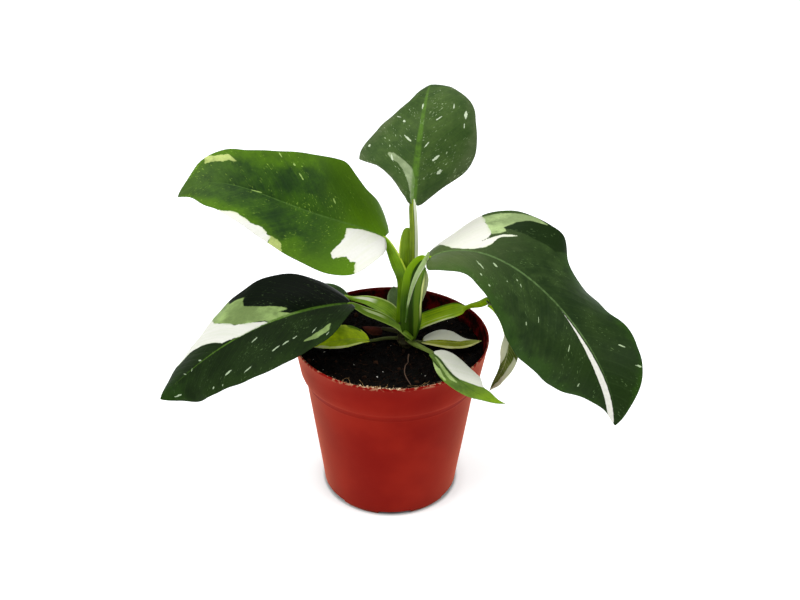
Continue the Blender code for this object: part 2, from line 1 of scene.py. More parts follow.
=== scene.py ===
"""Potted white princess philodendron, dressed for its studio picture.

Metres, +Z up, +X to the right of the front view, +Y towards the back.
The origin is the centre of the pot's underside, which rests on the floor.
"""
from math import cos, pi, radians, sin

import bmesh
import bpy
import numpy as np
from mathutils import Matrix, Vector, noise


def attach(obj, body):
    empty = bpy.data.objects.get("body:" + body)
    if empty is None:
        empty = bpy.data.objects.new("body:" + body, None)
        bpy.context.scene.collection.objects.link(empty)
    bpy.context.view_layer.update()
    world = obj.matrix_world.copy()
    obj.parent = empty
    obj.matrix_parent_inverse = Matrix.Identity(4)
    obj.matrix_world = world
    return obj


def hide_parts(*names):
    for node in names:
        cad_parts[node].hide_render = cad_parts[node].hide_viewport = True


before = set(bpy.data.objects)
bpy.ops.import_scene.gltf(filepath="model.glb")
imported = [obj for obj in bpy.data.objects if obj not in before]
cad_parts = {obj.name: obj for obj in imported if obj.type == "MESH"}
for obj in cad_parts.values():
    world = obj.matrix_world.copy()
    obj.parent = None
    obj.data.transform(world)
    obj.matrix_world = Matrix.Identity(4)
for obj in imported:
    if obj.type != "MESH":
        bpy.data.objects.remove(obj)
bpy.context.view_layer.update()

# Nursery pot: thin red-brown polypropylene, injection moulded in one piece, with a
# tapered wall, a wider collar up to a thin rim, a notched foot and drain holes.
POT_HEIGHT = 0.1093
RIM_RADIUS = 0.0611
COLLAR_EDGE = 0.0868
COLLAR_BOTTOM = 0.0812
COLLAR_RADIUS = 0.0573
WALL_TOP_RADIUS = 0.0542
BASE_RADIUS = 0.0438
POT_WALL = 0.0010
POT_FLOOR = 0.0012
POT_SEGMENTS = 180
NOTCHES = 6
NOTCH_SIZE = (0.0060, 0.0210, 0.0044)
FIRST_NOTCH = -85
DRAIN_RADIUS = 0.0035
DRAIN_CIRCLE = 0.0260
CREASE = radians(38)
PROFILE_LEDGE = slice(9, 13)
OUT_OF_ROUND = 0.00012
WALL_RIPPLE = 0.00008
MEAN_RADIUS = 0.05
# Painted shade on the downward-facing ledge under the collar, between these heights.
LEDGE_SHADE_ABOVE = (0.0806, 0.0822)
LEDGE_SHADE_BELOW = (0.0868, 0.0838)
LEDGE_SHADE_AMOUNT = 0.20
SMEARED_BELOW = (0.1086, 0.1070)
CRUST_ABOVE = (0.1066, 0.1091)
CRUST_TO_FRONT = (0.015, -0.030)
# Painted contact shade at the foot, below these heights.
FOOT_SHADE_BELOW = (0.0030, 0.0003)
WALL_BLOOM = 0.90
LEDGE_BLOOM = 0.18
PLASTIC_RELIEF = 0.00012
SKIN_OUTPUTS = (("Colour", "Color"), ("Roughness", "Float"), ("Height", "Float"))


def linear(red, green, blue):
    """A colour given in screen values from 0 to 255, as light values."""
    screen = np.array([red, green, blue]) / 255
    light = np.where(screen < 0.04045, screen / 12.92, ((screen + 0.055) / 1.055) ** 2.4)
    return (*light.tolist(), 1.0)


def net_faces(rows, columns, wrap=False):
    """Four-sided faces over a net of points, joined end to end when wrap is set."""
    faces = []
    for i in range(rows if wrap else rows - 1):
        n = (i + 1) % rows
        for j in range(columns - 1):
            a, b = i * columns + j, n * columns + j
            faces.append((a, b, b + 1, a + 1))
    return faces


def make_piece(name, points, faces, marks=None, slots=None, weld=0.00002, crease=None):
    """A closed smooth mesh object facing outwards; marks are values kept on its points."""
    mesh = bpy.data.meshes.new(name)
    mesh.from_pydata(np.asarray(points).reshape(-1, 3).tolist(), [], faces)
    for title, values in (marks or {}).items():
        layer = mesh.attributes.new(title, "FLOAT_VECTOR", "POINT")
        layer.data.foreach_set("vector", np.ascontiguousarray(values, np.float32).ravel())
    if slots is not None:
        mesh.polygons.foreach_set("material_index", slots)
    shape = bmesh.new()
    shape.from_mesh(mesh)
    bmesh.ops.remove_doubles(shape, verts=shape.verts, dist=weld)
    bmesh.ops.recalc_face_normals(shape, faces=shape.faces)
    shape.to_mesh(mesh)
    shape.free()
    mesh.shade_smooth()
    if crease is not None:
        mesh.set_sharp_from_angle(angle=crease)
    item = bpy.data.objects.new(name, mesh)
    bpy.context.scene.collection.objects.link(item)
    return item


def turned_net(profile, segments, centre=(0.0, 0.0)):
    """Points and faces of a solid turned from (radius, height) pairs."""
    angles = np.linspace(0, 2 * pi, segments, endpoint=False)
    rings = np.array(profile)
    points = np.stack([
        centre[0] + np.outer(np.cos(angles), rings[:, 0]),
        centre[1] + np.outer(np.sin(angles), rings[:, 0]),
        np.tile(rings[:, 1], (segments, 1)),
    ], axis=2)
    return points, net_faces(segments, len(profile), wrap=True)


def settle(item):
    """Turn what the modifiers make into the object's own mesh."""
    bpy.context.view_layer.update()
    graph = bpy.context.evaluated_depsgraph_get()
    mesh = bpy.data.meshes.new_from_object(item.evaluated_get(graph))
    item.modifiers.clear()
    item.data = mesh
    return item


def cut_away(item, cutter):
    """Take the cutter's shape out of the item, and the cutter out of the scene."""
    step = item.modifiers.new("cut", "BOOLEAN")
    step.operation = "DIFFERENCE"
    step.solver = "EXACT"
    step.object = cutter
    settle(item)
    bpy.data.objects.remove(cutter, do_unlink=True)


def add(tree, kind, sockets=None, **settings):
    """One node: its settings first, then values or links for its inputs."""
    node = tree.nodes.new(kind)
    for title, value in settings.items():
        setattr(node, title, value)
    for title, value in (sockets or {}).items():
        if isinstance(value, bpy.types.NodeSocket):
            tree.links.new(value, node.inputs[title])
        else:
            node.inputs[title].default_value = value
    return node


def reckon(tree, operation, first, second=0.0, third=0.0):
    values = {0: first, 1: second, 2: third}
    return add(tree, "ShaderNodeMath", values, operation=operation).outputs[0]


def times(tree, first, second):
    return reckon(tree, "MULTIPLY", first, second)


def plus(tree, first, second):
    return reckon(tree, "ADD", first, second)


def less(tree, first, second):
    return reckon(tree, "SUBTRACT", first, second)


def mixture(tree, *parts):
    """The sum of values, each given with its share."""
    portions = [times(tree, value, share) for value, share in parts]
    total = portions[0]
    for portion in portions[1:]:
        total = plus(tree, total, portion)
    return total


def eased(tree, value, low, high, start=0.0, end=1.0):
    """The value's way from low to high, as a soft step from start to end."""
    values = {"Value": value, "From Min": low, "From Max": high, "To Min": start, "To Max": end}
    return add(tree, "ShaderNodeMapRange", values, interpolation_type="SMOOTHSTEP").outputs[0]


def blended(tree, amount, first, second):
    """The first colour where the amount is 0, the second where it is 1."""
    node = add(tree, "ShaderNodeMix", {0: amount, 6: first, 7: second}, data_type="RGBA")
    return node.outputs[2]


def stretched(tree, vector, x, y, z):
    values = {0: vector, 1: (x, y, z)}
    return add(tree, "ShaderNodeVectorMath", values, operation="MULTIPLY").outputs[0]


def grainy(tree, vector, scale, detail=2.0, roughness=0.5):
    values = {"Vector": vector, "Scale": scale, "Detail": detail, "Roughness": roughness}
    return add(tree, "ShaderNodeTexNoise", values).outputs[0]


def own_place(tree):
    """The place on the piece, in metres."""
    return add(tree, "ShaderNodeTexCoord").outputs["Object"]


def stored(tree, title):
    """Values kept on the mesh's points under this title."""
    return add(tree, "ShaderNodeAttribute", attribute_name=title).outputs["Vector"]


def split(tree, vector):
    return add(tree, "ShaderNodeSeparateXYZ", {0: vector}).outputs


def make_group(name, inputs, outputs):
    """A shader node group; its inputs are numbers, vectors of three and colours of four."""
    tree = bpy.data.node_groups.new(name, "ShaderNodeTree")
    for title, value in inputs.items():
        kind = {3: "Vector", 4: "Color"}[len(value)] if isinstance(value, tuple) else "Float"
        made = tree.interface.new_socket(title, in_out="INPUT", socket_type="NodeSocket" + kind)
        made.default_value = value
    for title, kind in outputs:
        tree.interface.new_socket(title, in_out="OUTPUT", socket_type="NodeSocket" + kind)
    return tree, add(tree, "NodeGroupInput").outputs, add(tree, "NodeGroupOutput").inputs


def use_group(tree, group, **values):
    """One use of a group; an input's title is written with _ for its spaces."""
    sockets = {title.replace("_", " "): value for title, value in values.items()}
    return add(tree, "ShaderNodeGroup", sockets, node_tree=group)


def give_out(tree, made, **values):
    """Wire values to the group's outputs."""
    for title, value in values.items():
        tree.links.new(value, made[title])


def new_material(name, specular, **constants):
    """A material's tree and its shader, with the values that don't vary set on it."""
    made = bpy.data.materials.new(name)
    made.use_nodes = True
    tree = made.node_tree
    shader = tree.nodes["Principled BSDF"]
    shader.inputs["Specular IOR Level"].default_value = specular
    for title, value in constants.items():
        shader.inputs[title.replace("_", " ")].default_value = value
    return made, tree, shader


def wire_surface(tree, shader, colour, roughness, height, depth):
    """Colour, roughness and a bump of the given depth in metres."""
    bump = add(tree, "ShaderNodeBump", {"Height": height, "Distance": depth, "Strength": 1.0})
    tree.links.new(colour, shader.inputs["Base Color"])
    tree.links.new(roughness, shader.inputs["Roughness"])
    tree.links.new(bump.outputs[0], shader.inputs["Normal"])


def wall_radius(height):
    """The pot's outside at a height under the collar."""
    share = height / COLLAR_BOTTOM
    return BASE_RADIUS + (WALL_TOP_RADIUS - BASE_RADIUS) * share


def collar_radius(height):
    """The pot's outside at a height on the collar."""
    share = (height - COLLAR_EDGE) / (POT_HEIGHT - COLLAR_EDGE)
    return COLLAR_RADIUS + (RIM_RADIUS - COLLAR_RADIUS) * share


def moulded_plastic_group():
    """Red plastic: cloudy colour, fine scuffs, soil smears at the rim; painted shade under the
    collar and at the foot.
    """
    inputs = {"Fresh": linear(120, 6, 5), "Faded": linear(136, 22, 13),
              "Shaded": linear(70, 6, 5), "Smear": linear(20, 7, 4),
              "Crust": linear(186, 150, 116), "Smears": 0.0, "Rim Crust": 0.5}
    tree, given, made = make_group("moulded plastic", inputs, SKIN_OUTPUTS)
    spot = own_place(tree)
    _, depth, height = split(tree, spot)
    cloud = grainy(tree, spot, 24, 3)
    grit = grainy(tree, spot, 380, 4, 0.65)
    colour = blended(tree, eased(tree, cloud, 0.38, 0.72), given["Fresh"], given["Faded"])
    flow = grainy(tree, stretched(tree, spot, 55, 55, 900), 1.0, 3)
    scuffs = eased(tree, flow, 0.66, 0.76, 0.0, 0.32)
    colour = blended(tree, scuffs, colour, given["Faded"])
    # Painted shade: the downward-facing ledge under the collar is darkened towards the Shaded
    # colour.
    ledge = eased(tree, height, *LEDGE_SHADE_ABOVE)
    ledge = times(tree, ledge, eased(tree, height, *LEDGE_SHADE_BELOW))
    colour = blended(tree, times(tree, ledge, LEDGE_SHADE_AMOUNT), colour, given["Shaded"])
    smeared = eased(tree, grainy(tree, spot, 130, 4, 0.6), 0.34, 0.56)
    smeared = times(tree, smeared, given["Smears"])
    smeared = times(tree, smeared, eased(tree, height, *SMEARED_BELOW))
    colour = blended(tree, smeared, colour, given["Smear"])
    to_front = eased(tree, depth, *CRUST_TO_FRONT, 0.10, 1.0)
    near_rim = times(tree, eased(tree, height, *CRUST_ABOVE), to_front)
    crusted = times(tree, eased(tree, grainy(tree, spot, 420, 3), 0.52, 0.60), near_rim)
    crusted = times(tree, crusted, given["Rim Crust"])
    colour = blended(tree, crusted, colour, given["Crust"])
    # Painted contact shade: a gritty band at the foot, darkened towards the Smear colour.
    foot_shade_grit = eased(tree, grit, 0.40, 0.62, 0.45, 0.85)
    painted_foot_shade = times(tree, eased(tree, height, *FOOT_SHADE_BELOW), foot_shade_grit)
    colour = blended(tree, painted_foot_shade, colour, given["Smear"])
    wear = reckon(tree, "MULTIPLY_ADD", cloud, 0.16, 0.50)
    wear = plus(tree, wear, times(tree, scuffs, 0.5))
    wear = plus(tree, wear, times(tree, plus(tree, crusted, smeared), 0.3))
    relief = mixture(tree, (grit, 0.35), (cloud, 1.6), (crusted, 1.2))
    give_out(tree, made, Colour=colour, Roughness=wear, Height=relief)
    return tree


def pot_material(name, group, bloom, **values):
    made, tree, shader = new_material(name, 0.01, Sheen_Weight=bloom, Sheen_Roughness=0.38)
    shader.inputs["Sheen Tint"].default_value = linear(255, 148, 116)
    skin = use_group(tree, group, **values).outputs
    wire_surface(tree, shader, skin["Colour"], skin["Roughness"], skin["Height"], PLASTIC_RELIEF)
    return made


def pot_profile():
    """Down the outside from the rim, across the foot and floor, and up the inside."""
    top, edge, low = POT_HEIGHT, COLLAR_EDGE, COLLAR_BOTTOM
    outside = [
        (RIM_RADIUS - 0.00050, top),
        (RIM_RADIUS - 0.00018, top - 0.00008),
        (RIM_RADIUS, top - 0.0004),
        (collar_radius(top - 0.0016) + 0.0001, top - 0.0016),
        (collar_radius(top - 0.0024) - 0.0001, top - 0.0024),
        (collar_radius(0.1000), 0.1000),
        (collar_radius(0.0920), 0.0920),
        (collar_radius(edge + 0.0012), edge + 0.0012),
        (COLLAR_RADIUS - 0.0001, edge + 0.0003),
        (COLLAR_RADIUS - 0.0003, edge - 0.0003),
        (COLLAR_RADIUS - 0.0008, edge - 0.0012),
        (WALL_TOP_RADIUS + 0.0010, low + 0.0020),
        (WALL_TOP_RADIUS + 0.0004, low + 0.0008),
        (WALL_TOP_RADIUS + 0.0001, low),
        (wall_radius(low - 0.0012), low - 0.0012),
    ]
    for height in (0.070, 0.060, 0.050, 0.040, 0.030, 0.020, 0.012, 0.007, 0.004, 0.0022):
        outside.append((wall_radius(height), height))
    outside += [
        (BASE_RADIUS - 0.0001, 0.0008),
        (BASE_RADIUS - 0.0004, 0.0003),
        (BASE_RADIUS - 0.0010, 0.0),
        (BASE_RADIUS - 0.0080, 0.0),
        (0.0180, 0.0),
        (0.0, 0.0),
    ]
    inside = [(0.0, POT_FLOOR), (0.0180, POT_FLOOR), (wall_radius(0.0012) - POT_WALL, POT_FLOOR)]
    for height in (0.010, 0.030, 0.050, 0.070, low - 0.0008):
        inside.append((wall_radius(height) - POT_WALL, height))
    inside += [
        (COLLAR_RADIUS - POT_WALL, edge + 0.0010),
        (collar_radius(0.1000) - POT_WALL, 0.1000),
        (RIM_RADIUS - POT_WALL, top - 0.0006),
        (RIM_RADIUS - POT_WALL + 0.0001, top - 0.0001),
        (RIM_RADIUS - POT_WALL + 0.0003, top),
    ]
    return outside, inside


def box_cutter(size, place, turn):
    """A box for one foot notch, turned about the pot's middle."""
    mesh = bpy.data.meshes.new("cutter")
    shape = bmesh.new()
    bmesh.ops.create_cube(shape, size=1.0)
    stretch = Matrix.Diagonal((*size, 1.0))
    move = Matrix.Rotation(turn, 4, "Z") @ Matrix.Translation(place) @ stretch
    bmesh.ops.transform(shape, matrix=move, verts=shape.verts)
    shape.to_mesh(mesh)
    shape.free()
    item = bpy.data.objects.new("cutter", mesh)
    bpy.context.scene.collection.objects.link(item)
    return item


def drain_cutter(place):
    profile = [(0.0, -0.001), (DRAIN_RADIUS, -0.001), (DRAIN_RADIUS, 0.003), (0.0, 0.003)]
    points, faces = turned_net(profile, 24, place)
    return make_piece("cutter", points, faces)


outside, inside = pot_profile()
points, faces = turned_net(outside + inside + outside[:1], POT_SEGMENTS)
heights = points[..., 2]
bearing = np.linspace(0, 2 * pi, POT_SEGMENTS, endpoint=False)[:, None]
give = OUT_OF_ROUND * np.sin(3 * bearing + 0.6)
give = give + WALL_RIPPLE * np.sin(7 * bearing + 55 * heights)
give *= np.sin(np.clip(heights / COLLAR_BOTTOM, 0, 1) * pi)
points[..., :2] *= (1 + give / MEAN_RADIUS)[..., None]
skins = np.array([0] * (len(outside) - 1) + [1] * len(inside) + [0])
skins[PROFILE_LEDGE] = 2
slots = np.tile(skins, POT_SEGMENTS)
pot = make_piece("nursery_pot", points, faces, slots=slots, crease=CREASE)
plastic = moulded_plastic_group()
for skin in (
        pot_material("red plastic", plastic, WALL_BLOOM, Rim_Crust=0.55),
        # Inside, the plastic gets darker reds as painted shade on the inner wall; its soil smears
        # and rim crust are real dirt.
        pot_material("red plastic inside with painted shade", plastic, 0.0, Rim_Crust=0.9, Smears=0.97,
                     Fresh=linear(84, 8, 10), Faded=linear(96, 16, 18)),
        pot_material("red plastic ledge", plastic, LEDGE_BLOOM)):
    pot.data.materials.append(skin)
for i in range(NOTCHES):
    turn = radians(FIRST_NOTCH + i * 360 / NOTCHES)
    cut_away(pot, box_cutter(NOTCH_SIZE, (BASE_RADIUS, 0.0, 0.0), turn))
for i in range(NOTCHES):
    turn = radians(FIRST_NOTCH + (i + 0.5) * 360 / NOTCHES)
    cut_away(pot, drain_cutter((DRAIN_CIRCLE * cos(turn), DRAIN_CIRCLE * sin(turn))))
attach(pot, "root")
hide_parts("pot")

# Potting soil: moist black peat pressed into the pot as one plug. Its top is lumpy,
# sinks a little at the wall and is nearly black.
SOIL_LEVEL = 0.0990
SOIL_GAP = 0.0004
SOIL_RINGS = 70
SOIL_SEGMENTS = 200
SOIL_LUMPS = 0.0011
SOIL_CLODS = 0.0013
SOIL_SINK = 0.0016
SOIL_EDGE_BAND = 0.1


def soil_radius(height):
    """The soil's side, a hair inside the pot's wall."""
    if height < COLLAR_EDGE:
        return min(wall_radius(height), WALL_TOP_RADIUS) - POT_WALL - SOIL_GAP
    return collar_radius(height) - POT_WALL - SOIL_GAP


def soil_top(x, y):
    """Height of the soil's surface: the broad lumps and the clods on them."""
    lumps = sin(91 * x + 1.3) * cos(103 * y - 0.6) + 0.6 * sin(187 * x - 140 * y + 2.1)
    clods = noise.fractal(Vector((x, y, 0.0)) * 210, 1.0, 2.2, 4)
    return SOIL_LEVEL + SOIL_LUMPS * lumps + SOIL_CLODS * clods


def soil_material():
    """Damp peat: near-black crumbs, brown where they dry, with a little wet sheen."""
    made, tree, shader = new_material("damp peat", 0.06)
    spot = own_place(tree)
    clods = grainy(tree, spot, 260, 5, 0.7)
    damp = grainy(tree, spot, 45, 2)
    colour = blended(tree, eased(tree, clods, 0.42, 0.75), linear(4, 3, 3), linear(19, 12, 8))
    colour = blended(tree, eased(tree, damp, 0.35, 0.65, 0.0, 0.6), colour, linear(3, 3, 2))
    rough = eased(tree, damp, 0.3, 0.7, 0.95, 0.62)
    height = grainy(tree, spot, 900, 4, 0.7)
    wire_surface(tree, shader, colour, rough, height, 0.0009)
    return made


edge = soil_radius(SOIL_LEVEL) - 0.0002
profile = [(edge * i / SOIL_RINGS, SOIL_LEVEL) for i in range(SOIL_RINGS + 1)]
profile += [
    (soil_radius(0.0940), 0.0940),
    (soil_radius(COLLAR_EDGE + 0.0014), COLLAR_EDGE + 0.0014),
    (soil_radius(COLLAR_BOTTOM), COLLAR_BOTTOM - 0.0012),
    (soil_radius(0.0400), 0.0400),
    (soil_radius(0.0015), 0.0015),
    (0.0, 0.0015),
]
points, faces = turned_net(profile, SOIL_SEGMENTS)
for ring in points:
    for j in range(SOIL_RINGS + 1):
        in_band = max(0.0, j / SOIL_RINGS - (1 - SOIL_EDGE_BAND))
        ring[j, 2] = soil_top(ring[j, 0], ring[j, 1]) - SOIL_SINK * in_band / SOIL_EDGE_BAND
soil = make_piece("potting_soil", points, faces)
soil.data.materials.append(soil_material())
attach(soil, "root")
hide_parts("soil")

# Loose bits on the soil: peat crumbs, a few white perlite grains and bark chips lie
# where they fell when the pot was filled and watered.
FULL_TURN = 6.28
LOOSE_BITS = (
    # name, grains a square metre, smallest and largest, seed, dark, light, pattern scale
    ("peat_crumbs", 300000.0, 0.00035, 0.0017, 11, (4, 3, 2), (22, 13, 8), 300),
    ("bark_chips", 9000.0, 0.0009, 0.0026, 5, (16, 10, 7), (52, 32, 20), 160),
    ("perlite_grains", 1100.0, 0.0004, 0.0010, 23, (150, 148, 140), (236, 234, 226), 400),
)


def geometry_tree(name, inputs):
    """A geometry node tree with one mesh in, one out, and the named values."""
    tree = bpy.data.node_groups.new(name, "GeometryNodeTree")
    tree.interface.new_socket("Geometry", in_out="INPUT", socket_type="NodeSocketGeometry")
    for title, kind in inputs:
        tree.interface.new_socket(title, in_out="INPUT", socket_type="NodeSocket" + kind)
    tree.interface.new_socket("Geometry", in_out="OUTPUT", socket_type="NodeSocketGeometry")
    return tree, add(tree, "NodeGroupInput").outputs, add(tree, "NodeGroupOutput").inputs


def run_tree(name, ground, tree, **values):
    """A new object made by the tree on a copy of the ground, as a plain mesh."""
    item = bpy.data.objects.new(name, ground.copy())
    bpy.context.scene.collection.objects.link(item)
    step = item.modifiers.new(name, "NODES")
    step.node_group = tree
    for socket in tree.interface.items_tree:
        title = socket.name.replace(" ", "_")
        if socket.in_out == "INPUT" and title in values:
            step[socket.identifier] = values[title]
    settle(item)
    return item


def random_value(tree, kind, low, high, seed):
    """A random field; the sockets used are those of its kind."""
    first, out = (0, 0) if kind == "FLOAT_VECTOR" else (2, 1)
    values = {first: low, first + 1: high, "Seed": seed}
    return add(tree, "FunctionNodeRandomValue", values, data_type=kind).outputs[out]


def noise_push(tree, shift, scale, middle):
    """A push by noise at each point, with its middle value taken off."""
    place = add(tree, "GeometryNodeInputPosition").outputs[0]
    spot = add(tree, "ShaderNodeVectorMath", {0: place, 1: shift}, operation="ADD").outputs[0]
    grain = {"Vector": spot, "Scale": scale, "Detail": 1.0}
    both = {0: add(tree, "ShaderNodeTexNoise", grain).outputs[1], 1: middle}
    return add(tree, "ShaderNodeVectorMath", both, operation="SUBTRACT").outputs[0]


def scatter(tree, given, made, kinds, turns, scale):
    """Lay the kinds on the ground in a random pick, made real and painted."""
    spots = add(tree, "GeometryNodeDistributePointsOnFaces",
                {"Mesh": given["Geometry"], "Density": given["Density"], "Seed": given["Seed"]})
    pile = add(tree, "GeometryNodeJoinGeometry")
    for kind in kinds:
        tree.links.new(kind, pile.inputs[0])
    laid = add(tree, "GeometryNodeInstanceOnPoints",
               {"Points": spots.outputs[0], "Instance": pile.outputs[0], "Pick Instance": True,
                "Rotation": turns, "Scale": scale})
    real = add(tree, "GeometryNodeRealizeInstances", {0: laid.outputs[0]})
    painted = add(tree, "GeometryNodeSetMaterial",
                  {"Geometry": real.outputs[0], "Material": given["Material"]})
    tree.links.new(painted.outputs[0], made[0])


def lumpy_grain(tree, seed):
    """A small ball pushed in and out by noise, as one instance."""
    ball = add(tree, "GeometryNodeMeshIcoSphere", {"Radius": 1.0, "Subdivisions": 1})
    centred = noise_push(tree, (seed, seed * 0.7, 0.0), 1.3, (0.5, 0.5, 0.5))
    lumps = {0: centred, "Scale": 1.6}
    push = add(tree, "ShaderNodeVectorMath", lumps, operation="SCALE").outputs[0]
    moved = add(tree, "GeometryNodeSetPosition", {"Geometry": ball.outputs[0], "Offset": push})
    return add(tree, "GeometryNodeGeometryToInstance", {0: moved.outputs[0]}).outputs[0]


def crumb_tree():
    """Grains of many sizes, mostly small, each turned and squashed its own way."""
    inputs = [("Density", "Float"), ("Smallest", "Float"), ("Largest", "Float"),
              ("Seed", "Int"), ("Material", "Material")]
    tree, given, made = geometry_tree("crumbs", inputs)
    grains = [lumpy_grain(tree, seed) for seed in (1.7, 5.2, 9.9)]
    turns = random_value(tree, "FLOAT_VECTOR", (0, 0, 0), (FULL_TURN,) * 3, given["Seed"])
    chance = reckon(tree, "POWER", random_value(tree, "FLOAT", 0.0, 1.0, 3), 3.0)
    growth = less(tree, given["Largest"], given["Smallest"])
    size = reckon(tree, "MULTIPLY_ADD", chance, growth, given["Smallest"])
    build = random_value(tree, "FLOAT_VECTOR", (0.6, 0.6, 0.4), (1.0, 1.0, 0.8), 8)
    sized = {0: build, "Scale": size}
    scale = add(tree, "ShaderNodeVectorMath", sized, operation="SCALE").outputs[0]
    scatter(tree, given, made, grains, turns, scale)
    return tree


def crumb_material(name, dark, light, scale):
    """Loose bits: their tone drifts from dark to light over the bed, darker in the pits."""
    made, tree, shader = new_material(name, 0.06)
    dark, light = linear(*dark), linear(*light)
    spot = own_place(tree)
    tone = eased(tree, grainy(tree, spot, scale, 2), 0.36, 0.66)
    pits = grainy(tree, spot, scale * 5, 3, 0.7)
    colour = blended(tree, tone, dark, light)
    colour = blended(tree, eased(tree, pits, 0.5, 0.3, 0.0, 0.5), colour, dark)
    wire_surface(tree, shader, colour, eased(tree, pits, 0.3, 0.7, 0.75, 0.95), pits, 0.0003)
    return made


def soil_disc(rings, segments, reach, lift=0.0):
    """A copy of the soil's top out to the given radius, to scatter things on."""
    profile = [(reach * i / rings, 0.0) for i in range(rings + 1)]
    points, faces = turned_net(profile, segments)
    flat = points.reshape(-1, 3)
    for spot in flat:
        spot[2] = soil_top(spot[0], spot[1]) + lift
    mesh = bpy.data.meshes.new("soil top")
    mesh.from_pydata(flat.tolist(), [], faces)
    return mesh


crumbs = crumb_tree()
ground = soil_disc(40, 96, edge - 0.0014)
for name, density, smallest, largest, seed, *finish in LOOSE_BITS:
    bits = run_tree(name, ground, crumbs, Density=density, Smallest=smallest, Largest=largest,
                    Seed=seed, Material=crumb_material(name.replace("_", " "), *finish))
    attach(bits, "root")

# Coir fibres: short brown threads of coconut husk, mixed into the peat, that lie loose
# across the soil. Each is a thin bent tube.
FIBRE_RADIUS = 0.00011
FIBRE_DENSITY = 17000.0
FIBRE_KINDS = ((0.006, 0.006, 0.3), (0.010, 0.010, 1.1), (0.014, 0.013, 2.7))


def bent_thread(tree, length, bow, seed):
    """A thin tube, wavy along its length, as one instance."""
    ends = {"Start": (-length / 2, 0, 0), "End": (length / 2, 0, 0)}
    line = add(tree, "GeometryNodeCurvePrimitiveLine", ends)
    parts = add(tree, "GeometryNodeResampleCurve", {"Curve": line.outputs[0], "Count": 9})
    centred = noise_push(tree, (seed, 0.0, 0.0), 110.0, (0.5, 0.5, 0.42))
    push = stretched(tree, centred, 0.0, bow, bow * 0.5)
    moved = add(tree, "GeometryNodeSetPosition", {"Geometry": parts.outputs[0], "Offset": push})
    ring = add(tree, "GeometryNodeCurvePrimitiveCircle", {"Resolution": 4, "Radius": FIBRE_RADIUS})
    tube = add(tree, "GeometryNodeCurveToMesh",
               {"Curve": moved.outputs[0], "Profile Curve": ring.outputs[0], "Fill Caps": True})
    return add(tree, "GeometryNodeGeometryToInstance", {0: tube.outputs[0]}).outputs[0]


def fibre_tree():
    """Threads of three lengths, turned any way and tilted a little."""
    inputs = [("Density", "Float"), ("Tilt", "Float"), ("Seed", "Int"), ("Material", "Material")]
    tree, given, made = geometry_tree("coir", inputs)
    threads = [bent_thread(tree, length, bow, seed) for length, bow, seed in FIBRE_KINDS]
    spin = random_value(tree, "FLOAT", 0.0, FULL_TURN, given["Seed"])
    lean = random_value(tree, "FLOAT", -1.0, 1.0, 4)
    turns = add(tree, "ShaderNodeCombineXYZ", {1: times(tree, lean, given["Tilt"]), 2: spin})
    scale = random_value(tree, "FLOAT_VECTOR", (0.5, 0.5, 0.5), (1.0, 1.0, 1.0), 6)
    scatter(tree, given, made, threads, turns.outputs[0], scale)
    return tree


coir = fibre_tree()
coir_bed = soil_disc(20, 64, edge - 0.0080, 0.0006)
coir_brown = crumb_material("coir brown", (14, 9, 6), (72, 46, 28), 120)
fibres = run_tree("coir_fibres", coir_bed, coir, Density=FIBRE_DENSITY, Tilt=0.12, Seed=31,
                  Material=coir_brown)
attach(fibres, "root")

# Rim litter: pale crumbs and husk threads caught along the front of the rim, where the
# pot was topped up. They lie on the inner edge of the rim and on the soil beside it.
RIM_LITTER_FROM = -128
RIM_LITTER_TO = -58
RIM_LITTER = (
    ("rim_litter_left", RIM_LITTER_FROM, -106, 900000.0, 0.00050, 3),
    ("rim_litter_middle", -108, -84, 2600000.0, 0.00080, 4),
    ("rim_litter_right", -84, RIM_LITTER_TO, 900000.0, 0.00046, 9),
)
LITTER_STEPS = 24


def front_ledge(inner, outer, height, start, end):
    """A flat strip along the inside of the rim between two bearings."""
    turns = np.radians(np.linspace(start, end, LITTER_STEPS))
    rows = [[(r * cos(t), r * sin(t), height) for r in (inner, outer)] for t in turns]
    mesh = bpy.data.meshes.new("ledge")
    mesh.from_pydata([p for row in rows for p in row], [], net_faces(LITTER_STEPS, 2))
    return mesh


litter_cream = crumb_material("husk cream", (150, 112, 74), (232, 206, 170), 500)
inner = RIM_RADIUS - POT_WALL
for name, start, end, density, largest, seed in RIM_LITTER:
    ledge = front_ledge(inner - 0.0011, inner + 0.0007, POT_HEIGHT - 0.0001, start, end)
    bits = run_tree(name, ledge, crumbs, Density=density, Smallest=0.00012, Largest=largest,
                    Seed=seed, Material=litter_cream)
    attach(bits, "root")
ledge = front_ledge(inner - 0.0120, inner - 0.0080, 0.1020, RIM_LITTER_FROM, RIM_LITTER_TO)
threads = run_tree("rim_threads", ledge, coir, Density=60000.0, Tilt=0.25, Seed=12,
                   Material=crumb_material("husk straw", (104, 76, 46), (196, 160, 108), 300))
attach(threads, "root")

# Stem: a short, thick, grey-green trunk ringed by old leaf scars, planted in the soil.
# The leaf stalks clasp it.
STEM_X = 0.0090
STEM_Y = 0.0040
STEM_RADIUS = 0.0054
STEM_FOOT = 0.0850
STEM_TOP = 0.1160
STEM_SCARS = (0.1025, 0.1058, 0.1085, 0.1112)


def stem_material():
    made, tree, shader = new_material("stem bark", 0.25)
    spot = own_place(tree)
    streaks = grainy(tree, stretched(tree, spot, 500, 500, 90), 1.0, 4)
    blots = grainy(tree, spot, 260, 3)
    colour = blended(tree, eased(tree, streaks, 0.35, 0.65), linear(34, 32, 16), linear(66, 64, 34))
    colour = blended(tree, eased(tree, blots, 0.52, 0.68, 0.0, 0.8), colour, linear(52, 34, 22))
    wire_surface(tree, shader, colour, eased(tree, blots, 0.3, 0.7, 0.5, 0.75), streaks, 0.0005)
    return made


